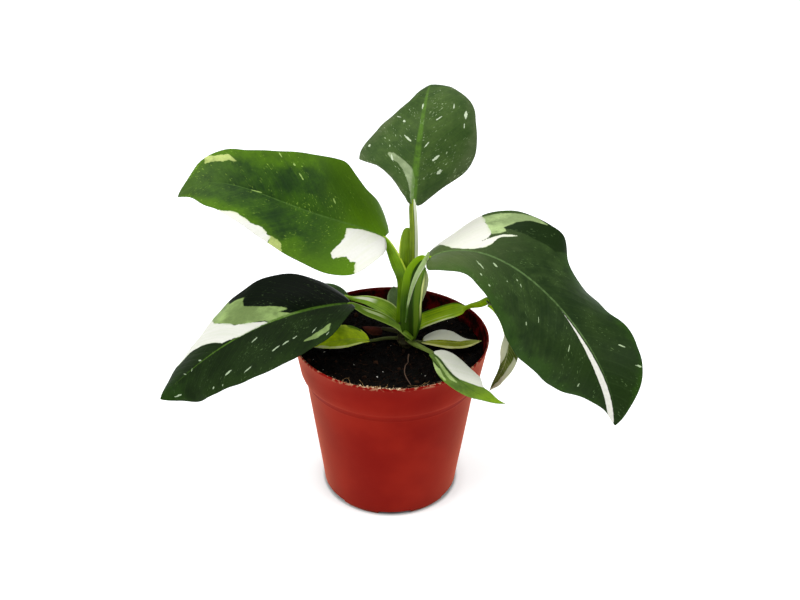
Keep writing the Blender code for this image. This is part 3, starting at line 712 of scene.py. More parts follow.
profile = [
    (0.0, STEM_TOP),
    (STEM_RADIUS * 0.4, STEM_TOP - 0.0001),
    (STEM_RADIUS * 0.7, STEM_TOP - 0.0006),
]
for height in np.linspace(STEM_TOP - 0.0016, STEM_FOOT + 0.0010, 64):
    scar = sum(np.exp(-((height - ring) / 0.0005) ** 2) for ring in STEM_SCARS)
    profile.append((STEM_RADIUS - 0.0003 - 0.0004 * sin(height * 900) + 0.0005 * scar, height))
profile += [(STEM_RADIUS - 0.0014, STEM_FOOT), (0.0, STEM_FOOT)]
points, faces = turned_net(profile, 72, (STEM_X, STEM_Y))
stem = make_piece("short_stem", points, faces)
stem.data.materials.append(stem_material())
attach(stem, "root")
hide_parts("stem")

# Leaves. Each is one leathery blade on a fleshy stalk; the older stalks are winged
# sheaths that wrapped the next leaf. The blade is a thin closed sheet with sunken side
# veins, and its white and pale sectors follow those veins.
MM = 0.001
BLADE_THICKNESS = 0.00055
NET = 0.0009
MARGIN_ROWS = (0.97, 0.99, 1.0)
MIDRIB_SAMPLES = 200
VEIN_SPACING = 0.0062
VEIN_DEPTH = 0.00005
VEIN_HALF_WIDTH = 0.00075
VEIN_WAVER = 0.13
WAVERS_A_METRE = 900
VEIN_STAGGER = 0.4
FLAT_BY_MIDRIB = 0.003
FULL_HALF = 0.040
EDGE_WAVE = 0.00022
EDGE_WAVES_A_METRE = 55
EDGE_THINNING = 0.55
GROOVE_DEPTH = 0.00028
GROOVE_HALF_WIDTH = 0.0009
BLADE_RELIEF = 0.00022
STALK_RELIEF = 0.00018
VEIN_LEAN = (0.55, 4.0)
STALK_SIDES = 28
STALK_STEPS = 9
STALK_WING = 0.45
STALK_FLUTING = 0.015
STALK_FLUTES = 9
RIB_REACH = 0.86
RIB_RINGS = 40
RIB_SHARE = 0.85
RIB_LEAST = 0.0002
RIB_DROP = 0.0001
RIB_FACING = (0.13, -0.31, 0.94)
RIB_RUN = 0.6
SHEATH_RUN = 0.3
FINE_WELD = 0.000001
FLECK_SIZE = 0.42
STRIPE_FADE = 0.35
MASK_OUTPUT = (("Mask", "Float"),)


def along(stations, share):
    """A smooth curve through evenly spaced stations."""
    places = np.linspace(0, 1, len(stations))
    return np.polyval(np.polyfit(places, stations, len(stations) - 1), share)


def outline(share, leaf):
    """Width of the blade as a share of its widest: rounded base, drawn-out tip."""
    grow = np.clip(share / leaf["widest"], 0, 1)
    start = leaf["base_width"]
    base = start + (1 - start) * np.sqrt(1 - (1 - grow) ** 2)
    run = np.clip((share - leaf["widest"]) / (1 - leaf["widest"]), 0, 1)
    tip = np.clip(1 - run ** 1.7, 0, 1) ** leaf["tip_power"]
    return np.where(share < leaf["widest"], base, tip)


def midrib(leaf, count):
    """Points, direction, side and normal along the midrib."""
    share = np.linspace(0, 1, count)
    heading = np.radians(along(leaf["heading"], share))
    climb = np.radians(along(leaf["climb"], share))
    roll = np.radians(along(leaf["roll"], share))[:, None]
    flat = np.cos(climb)
    ahead = np.stack([flat * np.cos(heading), flat * np.sin(heading), np.sin(climb)], axis=1)
    level = np.stack([-np.sin(heading), np.cos(heading), np.zeros(count)], axis=1)
    above = np.cross(ahead, level)
    side = level * np.cos(roll) + above * np.sin(roll)
    normal = above * np.cos(roll) - level * np.sin(roll)
    steps = (ahead[1:] + ahead[:-1]) / 2 * leaf["length"] / (count - 1)
    points = np.vstack([np.zeros(3), np.cumsum(steps, axis=0)]) + np.array(leaf["base"])
    return points, ahead, side, normal


def pick(values, share):
    """Read values evenly spaced from 0 to 1 at the given shares."""
    places = np.linspace(0, 1, len(values))
    return np.stack([np.interp(share, places, values[:, k]) for k in range(3)], axis=-1)


def curved(a, b, start, end, t):
    """The way from a to b at the share t, with these slopes at its ends."""
    ease = t * t * (3 - 2 * t)
    bend = start * t * (1 - t) ** 2 + end * t * t * (t - 1)
    return a + (b - a) * ease + bend


def trimmed(leaf, share, left):
    """How far the margin stands from its even outline, eased between stations."""
    stations = np.array(leaf["trim"][0 if left else 1]) if "trim" in leaf else np.ones(3)
    slopes = np.gradient(stations)
    spot = np.clip(share, 0, 1) * (len(stations) - 1)
    low = np.minimum(spot.astype(int), len(stations) - 2)
    kept = curved(stations[low], stations[low + 1], slopes[low], slopes[low + 1], spot - low)
    if left and "cut" in leaf:
        kept = np.minimum(kept, np.interp(share, *zip(*leaf["cut"])))
    return kept


def blade_points(leaf, share, signed):
    """The blade's middle surface; signed runs from 1 at the left margin to -1."""
    points, ahead, side, normal = midrib(leaf, MIDRIB_SAMPLES)
    reach, left = np.abs(signed), signed > 0
    along_rows = share[:, None]
    profile = outline(share, leaf)[:, None]
    fold, curl = (
        np.radians(np.where(left, *(along(half, share)[:, None] for half in leaf[key])))
        for key in ("fold", "curl"))
    width = np.where(left, *leaf["half"]) * profile
    curl = np.where(np.abs(curl) < 0.001, 0.001, curl)
    out = (np.sin(fold + curl * reach) - np.sin(fold)) / curl * width
    lift = (np.cos(fold) - np.cos(fold + curl * reach)) / curl * width
    if "wave" in leaf:
        height, count, phase = leaf["wave"]
        swing = np.sin(2 * pi * (count * along_rows + phase))
        lift += left * height * reach ** 2 * swing * profile
    ease = np.sin(pi * np.minimum(reach, 1) / 2) ** 2
    lobe = leaf["lobe"] * (1 - along_rows) ** 3
    shift = ease * (leaf["sweep"] * np.sin(pi * along_rows) - lobe)
    place = along_rows + shift
    inner = np.clip(place, 0, 1)
    beyond = (place - inner)[..., None] * leaf["length"]
    spine = pick(points, inner) + pick(ahead, inner) * beyond
    sideways = pick(side, inner) * (np.where(left, 1, -1) * out)[..., None]
    return spine + sideways + pick(normal, inner) * lift[..., None]


def depth_inside(spots, corners):
    """How far each spot lies inside a closed outline; negative outside it."""
    nearest = np.full(len(spots), 1.0)
    inside = np.zeros(len(spots), bool)
    for start, end in zip(corners, np.roll(corners, -1, axis=0)):
        run = end - start
        share = np.clip(((spots - start) @ run) / max(run @ run, 1e-12), 0, 1)
        away = np.linalg.norm(spots - start - share[:, None] * run, axis=1)
        nearest = np.minimum(nearest, away)
        crosses = (start[1] > spots[:, 1]) != (end[1] > spots[:, 1])
        rise = run[1] if abs(run[1]) > 1e-12 else 1e-12
        inside ^= crosses & (spots[:, 0] < start[0] + (spots[:, 1] - start[1]) / rise * run[0])
    return np.where(inside, nearest, -nearest)


def flat_place(leaf, share, signed):
    """Where a share along and a signed reach across lie on the flattened blade."""
    share, signed = np.asarray(share, float), np.asarray(signed, float)
    width = np.where(signed > 0, *leaf["half"]) * outline(np.clip(share, 0, 1), leaf)
    return np.stack([share * leaf["length"], signed * width], axis=-1)


def patch_marks(leaf, spots, patches):
    """Depth in millimetres inside the white, the pale and the dark sectors."""
    marks = np.full((len(spots), 3), -40.0)
    for k, kind in enumerate(("white", "pale", "dark")):
        for corners in patches.get(kind, ()):
            corners = np.array(corners, float)
            steps = np.linspace(0, 1, 10, endpoint=False)[:, None]
            runs = [a + (b - a) * steps for a, b in zip(corners, np.roll(corners, -1, axis=0))]
            corners = np.vstack(runs)
            corners = flat_place(leaf, corners[:, 0], corners[:, 1])
            marks[:, k] = np.maximum(marks[:, k], depth_inside(spots, corners) / MM)
    return marks


def side_vein(place, across):
    """A number that stays the same along each side vein, in metres."""
    return place - VEIN_LEAN[0] * across - VEIN_LEAN[1] * across ** 2


def vein_spacing(leaf):
    """Side veins stand closer on a small blade."""
    return VEIN_SPACING * max(max(leaf["half"]) / FULL_HALF, 0.35)


def make_blade(name, leaf, patches, seed):
    """A thin closed sheet; the lower face takes the second material."""
    rows = max(40, int(leaf["length"] / NET))
    columns = max(10, int(max(leaf["half"]) / NET))
    share = np.linspace(0, 1, rows)
    half_reach = np.append(np.linspace(0, MARGIN_ROWS[0], columns), MARGIN_ROWS[1:])
    reaches = np.concatenate([half_reach[:0:-1], -half_reach])
    keep = np.where(reaches > 0, *(trimmed(leaf, share, left)[:, None] for left in (True, False)))
    grid = blade_points(leaf, share, reaches * keep)
    rise = np.gradient(grid, axis=0)
    over = np.gradient(grid, axis=1)
    rise[-1] = rise[-2]
    over[-1] = over[-2]
    normal = np.cross(over, rise)
    normal /= np.maximum(np.linalg.norm(normal, axis=2), 1e-12)[..., None]
    if normal[rows // 3, columns, 2] < 0:
        normal = -normal
    signed = np.tile(reaches, (rows, 1))
    along_rows = np.repeat(share[:, None], len(reaches), 1)
    spots = flat_place(leaf, along_rows, signed * keep).reshape(-1, 2)
    across = np.abs(spots[:, 1]).reshape(rows, -1)
    vein = side_vein(spots[:, 0].reshape(rows, -1), across)
    scale = max(leaf["half"]) / FULL_HALF
    spacing = vein_spacing(leaf)
    phase = vein / spacing + VEIN_WAVER * np.sin(vein * WAVERS_A_METRE + seed)
    phase = phase + np.where(signed > 0, VEIN_STAGGER, 0.0)
    off = np.abs(phase - np.round(phase)) * spacing
    fade = np.clip(across / FLAT_BY_MIDRIB, 0, 1) * (1 - np.abs(signed) ** 4)
    furrow = np.exp(-(off / (VEIN_HALF_WIDTH * scale)) ** 2)
    relief = VEIN_DEPTH * scale * fade * (0.5 - 1.5 * furrow)
    swing = np.sin(2 * pi * (leaf["length"] * EDGE_WAVES_A_METRE * share[:, None] + seed))
    relief += EDGE_WAVE * scale * np.abs(signed) ** 3 * swing
    groove = GROOVE_DEPTH * np.exp(-(across / GROOVE_HALF_WIDTH) ** 2) * (1 - share[:, None])
    thick = BLADE_THICKNESS / 2 * (1 - EDGE_THINNING * np.abs(signed) ** 8)
    top = grid + normal * (relief + thick - groove)[..., None]
    low = grid + normal * (relief - thick)[..., None]
    wide = len(reaches)
    count = rows * wide
    faces = net_faces(rows, wide)
    faces += [tuple(count + k for k in reversed(face)) for face in net_faces(rows, wide)]
    slots = [0] * (len(faces) // 2) + [1] * (len(faces) // 2)
    loop = [i * wide for i in range(rows)] + [(rows - 1) * wide + j for j in range(1, wide)]
    loop += [i * wide + wide - 1 for i in range(rows - 2, -1, -1)] + list(range(wide - 2, 0, -1))
    for a, b in zip(loop, loop[1:] + loop[:1]):
        faces.append((a, b, b + count, a + count))
        slots.append(0)
    marks = {
        "place": np.stack([spots[:, 0], signed.ravel(), spots[:, 1]], axis=1),
        "vein": np.stack([vein.ravel(), across.ravel(), np.full(count, seed)], axis=1),
        "patch": patch_marks(leaf, spots, patches),
    }
    marks = {title: np.vstack([values, values]) for title, values in marks.items()}
    points = np.vstack([top.reshape(-1, 3), low.reshape(-1, 3)])
    return make_piece(name, points, faces, marks, slots)


def smooth_path(rows, steps):
    """A rounded path through the rows, every column eased alike."""
    rows = np.array(rows, float)
    slopes = np.gradient(rows, axis=0)
    path = []
    for ends in zip(rows[:-1], rows[1:], slopes[:-1], slopes[1:]):
        path += [curved(*ends, t) for t in np.linspace(0, 1, steps, endpoint=False)]
    path.append(rows[-1])
    return np.array(path)


def loft_net(path, facing, wing=0.0, ribs=0.0, start=0.0):
    """Rings of an oval bent into a channel; wing thins its edges, ribs flute it.

    A path's columns are x, y, z, half width, half thickness and hollow. The start is
    added to the run kept on the points, so a stripe can name one loft of a stalk.
    """
    places = path[:, :3]
    ahead = np.gradient(places, axis=0)
    ahead /= np.linalg.norm(ahead, axis=1)[:, None]
    across = np.cross(ahead, facing)
    across /= np.linalg.norm(across, axis=1)[:, None]
    out = np.cross(across, ahead)
    angle = np.linspace(0, 2 * pi, STALK_SIDES, endpoint=False)
    half, thick, hollow = (path[:, k][:, None] for k in (3, 4, 5))
    fluted = 1 + ribs * np.cos(STALK_FLUTES * angle)
    swell = np.sin(angle) * (1 - wing * np.cos(angle) ** 2) * fluted
    rise = thick * swell + hollow * np.cos(angle) ** 2
    offset = across[:, None] * (half * np.cos(angle))[..., None] + out[:, None] * rise[..., None]
    points = places[:, None] + offset
    lengths = np.linalg.norm(np.diff(places, axis=0), axis=1)
    run = start + np.concatenate([[0], np.cumsum(lengths)])
    rings = len(path)
    round_ring = np.tile(np.cos(angle), (rings, 1)), np.tile(np.sin(angle), (rings, 1))
    place = np.stack([np.tile(run[:, None], STALK_SIDES), *round_ring], axis=2)
    faces = []
    for i in range(rings - 1):
        a, b = i * STALK_SIDES, (i + 1) * STALK_SIDES
        for j in range(STALK_SIDES):
            n = (j + 1) % STALK_SIDES
            faces.append((a + j, a + n, b + n, b + j))
    faces.append(tuple(reversed(range(STALK_SIDES))))
    faces.append(tuple(range((rings - 1) * STALK_SIDES, rings * STALK_SIDES)))
    return points.reshape(-1, 3), faces, place.reshape(-1, 3)


def rib_path(leaf):
    """The raised midrib under the blade, thinning towards the tip."""
    points, _, _, normal = midrib(leaf, MIDRIB_SAMPLES)
    share = np.linspace(0.0, RIB_REACH, RIB_RINGS)
    size = leaf["stalk"][-2][4] * MM
    radius = size * RIB_SHARE * (1 - share) + RIB_LEAST
    centre = pick(points, share) - pick(normal, share) * (radius + RIB_DROP)[:, None]
    return np.hstack([centre, np.stack([radius, radius, 0 * radius], axis=1)])


def make_stalk(name, leaf, lofts):
    """The stalk with any sheaths and its rib, as one object; each has its own skin."""
    path = smooth_path(np.array(leaf["stalk"]) * MM, STALK_STEPS)
    nets = [loft_net(path, leaf["facing"], wing=STALK_WING, ribs=STALK_FLUTING)]
    for rows, facing, wing, _ in lofts:
        path = smooth_path(np.array(rows) * MM, STALK_STEPS)
        nets.append(loft_net(path, facing, wing=wing, start=SHEATH_RUN))
    if leaf.get("rib", True):
        nets.append(loft_net(rib_path(leaf), RIB_FACING, start=RIB_RUN))
    points, faces, place, slots = [], [], [], []
    for slot, (some, theirs, marks) in enumerate(nets):
        shift = sum(len(p) for p in points)
        faces += [tuple(k + shift for k in face) for face in theirs]
        slots += [slot] * len(theirs)
        points.append(some)
        place.append(marks)
    marks = {"place": np.vstack(place)}
    return make_piece(name, np.vstack(points), faces, marks, slots, weld=FINE_WELD)


def fleck_group():
    """One ragged fleck lying along the side veins."""
    inputs = {"Place": (0, 0, 0), "Wander": 0.5, "Along": 0.0, "Across": 0.0,
              "Half Length": 0.002, "Half Width": 0.0007, "Lean": 0.6}
    tree, given, made = make_group("fleck", inputs, MASK_OUTPUT)
    along_blade, _, across = split(tree, given["Place"])
    run = less(tree, along_blade, given["Along"])
    off = less(tree, across, given["Across"])
    turn_cos = reckon(tree, "COSINE", given["Lean"])
    turn_sin = reckon(tree, "SINE", given["Lean"])
    lengthwise = plus(tree, times(tree, run, turn_cos), times(tree, off, turn_sin))
    widthwise = less(tree, times(tree, off, turn_cos), times(tree, run, turn_sin))
    far = []
    for way, size in ((lengthwise, "Half Length"), (widthwise, "Half Width")):
        share = reckon(tree, "ABSOLUTE", reckon(tree, "DIVIDE", way, given[size]))
        far.append(reckon(tree, "POWER", share, 2.0))
    rough_edge = reckon(tree, "MULTIPLY_ADD", given["Wander"], 3.4, -1.7)
    far = plus(tree, plus(tree, *far), rough_edge)
    give_out(tree, made, Mask=eased(tree, far, 1.25, 0.65))
    return tree


def tissue_group():
    """A variegated blade: marbled greens, margins, veins, sectors and specks."""
    inputs = {
        "Green": linear(60, 90, 40), "Deep Green": linear(40, 62, 30),
        "Base Green": linear(80, 104, 58), "Tip Green": linear(40, 62, 24),
        "Dark Sector": linear(10, 18, 8), "Margin Green": linear(96, 128, 30),
        "Pale": linear(130, 152, 100), "White": linear(220, 220, 213),
        "Fleck": linear(206, 214, 190), "Rib": linear(110, 140, 70),
        "Speck": linear(150, 176, 116), "Base Tint": 0.0, "Tip Tint": 0.0, "Base Reach": 0.3,
        "Tip Reach": 0.6, "Margin": 0.3, "Margin Start": 0.7, "Specks": 0.4, "Veins": 0.10,
        "Ragged": 3.0, "Rib Width": 0.0012, "Rib Strength": 0.8, "Streak From": 0.5,
        "Streak Width": -0.001, "Streak Shift": 0.0, "Length": 0.1, "Flecks": 0.0,
        "Spacing": VEIN_SPACING,
    }
    tree, given, made = make_group("variegated tissue", inputs, SKIN_OUTPUTS)
    along_blade, reach, across = split(tree, stored(tree, "place"))
    vein = stored(tree, "vein")
    lane, _, _ = split(tree, vein)
    white, pale, dark = split(tree, stored(tree, "patch"))
    spot = own_place(tree)
    edge_near = reckon(tree, "ABSOLUTE", reach)
    share = reckon(tree, "DIVIDE", along_blade, given["Length"])
    streaks = grainy(tree, stretched(tree, vein, 260, 40, 1), 1.0, 2, 0.5)
    broad = grainy(tree, spot, 48, 3)
    blotch = grainy(tree, spot, 135, 4, 0.6)
    cells = grainy(tree, spot, 700, 3, 0.6)
    fingers = grainy(tree, stretched(tree, vein, 330, 40, 1.3), 1.0, 3, 0.55)
    fray = grainy(tree, spot, 330, 3, 0.6)
    wander = mixture(tree, (fingers, 0.66), (fray, 0.34))
    ragged = times(tree, less(tree, wander, 0.5), times(tree, given["Ragged"], 2.0))

    marbling = mixture(tree, (broad, 0.50), (streaks, 0.14), (blotch, 0.36))
    uneven = less(tree, marbling, 0.5)
    colour = blended(tree, eased(tree, marbling, 0.37, 0.64), given["Deep Green"], given["Green"])
    swing = reckon(tree, "MULTIPLY_ADD", uneven, 0.5, share)
    at_base = times(tree, eased(tree, swing, given["Base Reach"], 0.0), given["Base Tint"])
    colour = blended(tree, at_base, colour, given["Base Green"])
    at_tip = times(tree, eased(tree, swing, given["Tip Reach"], 1.0), given["Tip Tint"])
    colour = blended(tree, at_tip, colour, given["Tip Green"])
    margin = reckon(tree, "MULTIPLY_ADD", uneven, 1.1, edge_near)
    margin = times(tree, eased(tree, margin, given["Margin Start"], 1.02), given["Margin"])
    colour = blended(tree, margin, colour, given["Margin Green"])
    in_dark = eased(tree, plus(tree, dark, ragged), -0.5, 0.5)
    colour = blended(tree, in_dark, colour, given["Dark Sector"])

    lines = reckon(tree, "FRACT", reckon(tree, "DIVIDE", lane, given["Spacing"]))
    lines = reckon(tree, "ABSOLUTE", less(tree, lines, 0.5))
    lines = times(tree, eased(tree, lines, 0.38, 0.5), eased(tree, edge_near, 0.95, 0.5))
    colour = blended(tree, times(tree, lines, given["Veins"]), colour, given["Rib"])
    in_pale = eased(tree, plus(tree, pale, ragged), -0.80, -0.10)
    mottled = eased(tree, marbling, 0.42, 0.62, 0.5, 0.0)
    colour = blended(tree, in_pale, colour, blended(tree, mottled, given["Pale"], given["Green"]))

    clusters = grainy(tree, stretched(tree, vein, 170, 42, 1), 1.0, 2)
    clusters = mixture(tree, (clusters, 0.6), (broad, 0.4))
    dots = grainy(tree, stretched(tree, vein, 1150, 620, 1), 1.0, 1)
    specks = times(tree, eased(tree, dots, 0.63, 0.70), eased(tree, clusters, 0.47, 0.60))
    speckled = times(tree, given["Specks"], eased(tree, fray, 0.35, 0.62, 0.35, 1.0))
    colour = blended(tree, times(tree, specks, speckled), colour, given["Speck"])

    white_depth = plus(tree, white, ragged)
    in_white = eased(tree, white_depth, -0.22, 0.22)
    fringe = eased(tree, white_depth, 1.4, 0.0, 0.10, 0.55)
    fringe = times(tree, fringe, eased(tree, fingers, 0.40, 0.60))
    colour = blended(tree, in_white, colour, blended(tree, fringe, given["White"], given["Pale"]))
    colour = blended(tree, given["Flecks"], colour, given["Fleck"])

    rib_width = times(tree, given["Rib Width"], less(tree, 1.06, share))
    on_rib = reckon(tree, "DIVIDE", reckon(tree, "ABSOLUTE", across), rib_width)
    rib_shown = times(tree, eased(tree, on_rib, 1.25, 0.45), given["Rib Strength"])
    rib_shown = times(tree, rib_shown, eased(tree, fray, 0.30, 0.55, 0.35, 1.0))
    rib_shown = times(tree, rib_shown, eased(tree, swing, 0.98, 0.60))
    rib_shown = times(tree, rib_shown, less(tree, 1.0, times(tree, in_white, 0.8)))
    colour = blended(tree, rib_shown, colour, given["Rib"])

    streak_from = given["Streak From"]
    streak_width = eased(tree, share, streak_from, 0.84, -0.001, given["Streak Width"])
    shift = times(tree, given["Streak Shift"], eased(tree, share, streak_from, 0.78))
    streak_off = reckon(tree, "ABSOLUTE", less(tree, across, shift))
    streak_off = plus(tree, streak_off, times(tree, less(tree, fray, 0.5), 0.0007))
    streak = eased(tree, less(tree, streak_width, streak_off), -0.00016, 0.00016)
    colour = blended(tree, streak, colour, given["White"])

    grain = less(tree, 1.0, times(tree, in_white, 0.75))
    grain = times(tree, eased(tree, cells, 0.30, 0.70, 0.12, 0.0), grain)
    colour = blended(tree, grain, colour, (0.0, 0.0, 0.0, 1.0))
    gloss = reckon(tree, "MULTIPLY_ADD", broad, 0.12, 0.36)
    gloss = plus(tree, gloss, times(tree, in_white, 0.06))
    relief = reckon(tree, "MULTIPLY_ADD", cells, 0.16, times(tree, blotch, 0.9))
    relief = less(tree, relief, times(tree, lines, 0.22))
    give_out(tree, made, Colour=colour, Roughness=gloss, Height=relief)
    return tree


fleck_nodes = fleck_group()
tissue_nodes = tissue_group()


def paler(colour, share=0.28):
    """The same colour as seen on a leaf's underside: lighter and greyer."""
    under = np.array(linear(134, 150, 112))
    return tuple((np.array(colour) * (1 - share) + under * share).tolist())


def fleck_lean(place_across, reach):
    """The angle of the side veins at this place across the blade."""
    lean = np.arctan(1 / (VEIN_LEAN[0] + 2 * VEIN_LEAN[1] * abs(place_across)))
    return lean if reach > 0 else -lean


def blade_material(name, leaf, look, flecks, under=False):
    """The blade's skin: the shared tissue with this leaf's colours and flecks."""
    made, tree, shader = new_material(name, 0.03 if under else 0.045)
    place = stored(tree, "place")
    wander = grainy(tree, own_place(tree), 720, 2)
    values = {k: linear(*v) if isinstance(v, tuple) else v for k, v in look.items()}
    if under:
        white = values.get("White", linear(214, 216, 202))
        values = {k: paler(v) if isinstance(v, tuple) else v for k, v in values.items()}
        values["White"] = white
    for share, reach, length, width, *turned in flecks:
        place_along, place_across = flat_place(leaf, share, reach).tolist()
        lean = turned[0] if turned else fleck_lean(place_across, reach)
        one = use_group(tree, fleck_nodes, Place=place, Wander=wander, Along=place_along,
                        Across=place_across, Half_Length=length * MM * FLECK_SIZE,
                        Half_Width=width * MM * FLECK_SIZE, Lean=lean).outputs[0]
        others = values.get("Flecks", 0.0)
        values["Flecks"] = reckon(tree, "MAXIMUM", others, one)
    skin = use_group(tree, tissue_nodes, Length=leaf["length"], Spacing=vein_spacing(leaf),
                     **values).outputs
    rough = plus(tree, skin["Roughness"], 0.16 if under else 0.0)
    wire_surface(tree, shader, skin["Colour"], rough, skin["Height"], BLADE_RELIEF)
    return made


def stripe_group():
    """One lengthwise stripe on a stalk, with a wavering edge."""
    inputs = {"Across": 0.0, "Waver": 0.5, "Centre": 0.0, "Half Width": 0.1}
    tree, given, made = make_group("stripe", inputs, MASK_OUTPUT)
    off = reckon(tree, "ABSOLUTE", less(tree, given["Across"], given["Centre"]))
    off = plus(tree, off, reckon(tree, "MULTIPLY_ADD", given["Waver"], 0.16, -0.08))
    inside_edge = less(tree, given["Half Width"], off)
    give_out(tree, made, Mask=eased(tree, inside_edge, -0.035, 0.035))
    return tree


stripe_nodes = stripe_group()


def stalk_material(name, base, shade, stripes=(), specular=0.15):
    """Smooth fleshy stalk: streaked along its length, with stripes by place across it."""
    made, tree, shader = new_material(name, specular)
    place = stored(tree, "place")
    run, across, _ = split(tree, place)
    spot = own_place(tree)
    waver = grainy(tree, stretched(tree, place, 70, 3.0, 2.0), 1.0, 3)
    streaks = grainy(tree, stretched(tree, place, 45, 9.0, 5.0), 1.0, 4, 0.6)
    blots = grainy(tree, spot, 120, 3)
    tone = mixture(tree, (streaks, 0.6), (blots, 0.4))
    colour = blended(tree, eased(tree, tone, 0.36, 0.62), linear(*shade), linear(*base))
    for centre, half_width, stripe, *span in stripes:
        mask = use_group(tree, stripe_nodes, Across=across, Waver=waver, Centre=centre,
                         Half_Width=half_width).outputs[0]
        if span:
            low, high = span
            fade = STRIPE_FADE * (high - low)
            begun = eased(tree, run, low, low + fade)
            shown = times(tree, begun, eased(tree, run, high, high - fade))
            mask = times(tree, mask, shown)
        colour = blended(tree, mask, colour, linear(*stripe))
    height = mixture(tree, (streaks, 0.7), (grainy(tree, spot, 700, 2), 0.3))
    gloss = eased(tree, blots, 0.3, 0.7, 0.34, 0.48)
    wire_surface(tree, shader, colour, gloss, height, STALK_RELIEF)
    return made


def grow_leaf(title, node, leaf, look, skin, seed, patches=None, flecks=(), lofts=()):
    """One leaf: its blade and its stalk, both standing for the same solid.

    Lofts are sheaths on the stalk, as rows, facing, wing and skin.
    """
    blade = make_blade(title + "_blade", leaf, patches or {}, seed)
    words = title.replace("_", " ")
    for side, under in ((" blade", False), (" underside", True)):
        blade.data.materials.append(blade_material(words + side, leaf, look, flecks, under))
    stalk = make_stalk(title + "_stalk", leaf, lofts)
    rib_skin = [skin] if leaf.get("rib", True) else []
    for one in [skin] + [loft[3] for loft in lofts] + rib_skin:
        stalk.data.materials.append(one)
    for item in (blade, stalk):
        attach(item, "root")
        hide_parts(node)


# Top leaf: the youngest full blade, held upright and facing the front, grey-green with
# a pale streak at the base; its lower left margin is cut back, as in the photograph.
leaf_top = {
    "base": (0.0117, 0.0003, 0.1982),
    "length": 0.0960,
    "half": (0.0348, 0.0334),
    "widest": 0.37,
    "base_width": 0.33,
    "lobe": 0.012,
    "sweep": 0.075,
    "tip_power": 0.98,
    "trim": (
        (1.04, 1.04, 1.05, 0.98, 0.87, 0.84, 0.72, 0.62, 0.5, 0.5, 1),
        (0.45, 0.73, 1.02, 1.08, 1.03, 1.02, 1.06, 1.02, 0.84, 0.92, 1),
    ),
    "cut": (
        (0.0, 0.31), (0.03, 0.32), (0.057, 0.38), (0.1, 0.43), (0.133, 0.5), (0.16, 0.6),
        (0.18, 0.72), (0.188, 0.86), (0.194, 1.08),
    ),
    "heading": (86, 79, 79.5, 85),
    "climb": (58, 55, 30, -58),
    "roll": (40, 8, -6, -4),
    "fold": ((16, -12, -18), (-12, -5, 2)),
    "curl": ((-12, -28, -26), (-24, -22, -19)),
    "stalk": (
        (11.4, 6.4, 113.0, 3.4, 2.2, 0.0),
        (11.6, 7.8, 118.8, 2.6, 1.8, 0.0),
        (12.2, 7.8, 138.0, 2.6, 1.6, 0.0),
        (12.8, 6.0, 161.2, 2.7, 1.5, 0.3),
        (12.4, 3.0, 181.4, 2.5, 1.4, 0.3),
        (11.6, 0.6, 196.0, 2.2, 1.4, 0.0),
        (11.7, 1.6, 200.6, 1.0, 0.8, 0.0),
    ),
    "facing": (0.1, -1.0, 0.2),
}
top_sheath = (
    (10.6, 4.8, 115.0, 2.8, 0.6, -0.6),
    (8.8, 4.4, 138.0, 3.6, 0.6, -1.0),
    (7.8, 4.2, 158.0, 3.8, 0.5, -1.0),
    (8.0, 4.0, 170.0, 3.7, 0.5, -0.8),
    (8.8, 3.8, 178.4, 2.7, 0.5, -0.4),
    (9.8, 3.8, 180.9, 0.9, 0.4, 0.0),
)
top_look = {
    "Green": (70, 92, 44), "Deep_Green": (50, 72, 32), "Margin_Green": (84, 96, 64),
    "Tip_Green": (58, 104, 14), "Tip_Tint": 1.0, "Tip_Reach": 0.8, "Pale": (156, 172, 132),
    "Rib": (86, 124, 40), "Fleck": (188, 202, 172), "Speck": (176, 196, 150), "Margin": 0.6,
    "Specks": 0.9, "Veins": 0.1, "Ragged": 1.4, "Rib_Width": 0.0026, "Rib_Strength": 0.7,
}
top_patches = {
    "pale": [
        ((0.0, 0.0), (0.16, 0.02), (0.2, 0.06), (0.235, 0.17), (0.262, 0.3), (0.28, 0.42),
         (0.265, 0.5), (0.245, 0.42), (0.235, 0.33), (0.2, 0.22), (0.15, 0.15), (0.07, 0.11),
         (0.0, 0.12)),
    ],
}
top_flecks = (
    (0.287, -0.34, 5.2, 2.2), (0.207, -0.49, 4.0, 2.8), (0.537, -0.83, 5.4, 2.2, 0.1),
    (0.393, 0.2, 6.0, 1.5), (0.62, 0.04, 4.6, 1.4, 0.0), (0.53, -0.31, 4.6, 0.9),
    (0.503, 0.37, 2.2, 1.8), (0.287, 0.88, 2.0, 1.6), (0.53, 0.56, 5.0, 0.8, 1.45),
    (0.37, -0.14, 4.6, 0.8, -0.6), (0.25, 0.44, 4.0, 1.4, 0.4), (0.47, -0.78, 3.6, 0.7, 0.1),
    (0.6, -0.62, 4.0, 0.8, 0.1),
)
top_stalk_skin = stalk_material("top stalk", (120, 142, 34), (92, 116, 20), [
    (0.66, 0.44, (216, 222, 192), -0.16, 0.2), (-0.15, 0.1, (140, 158, 44))])
olive_skin = stalk_material("top sheath", (112, 142, 18), (82, 112, 8), [
    (-0.92, 0.1, (178, 196, 70), 0.34, 0.362)])
grow_leaf("top_leaf", "leaf_top", leaf_top, top_look, top_stalk_skin, 1.0, top_patches, top_flecks,
          [(top_sheath, leaf_top["facing"], 0.3, olive_skin)])

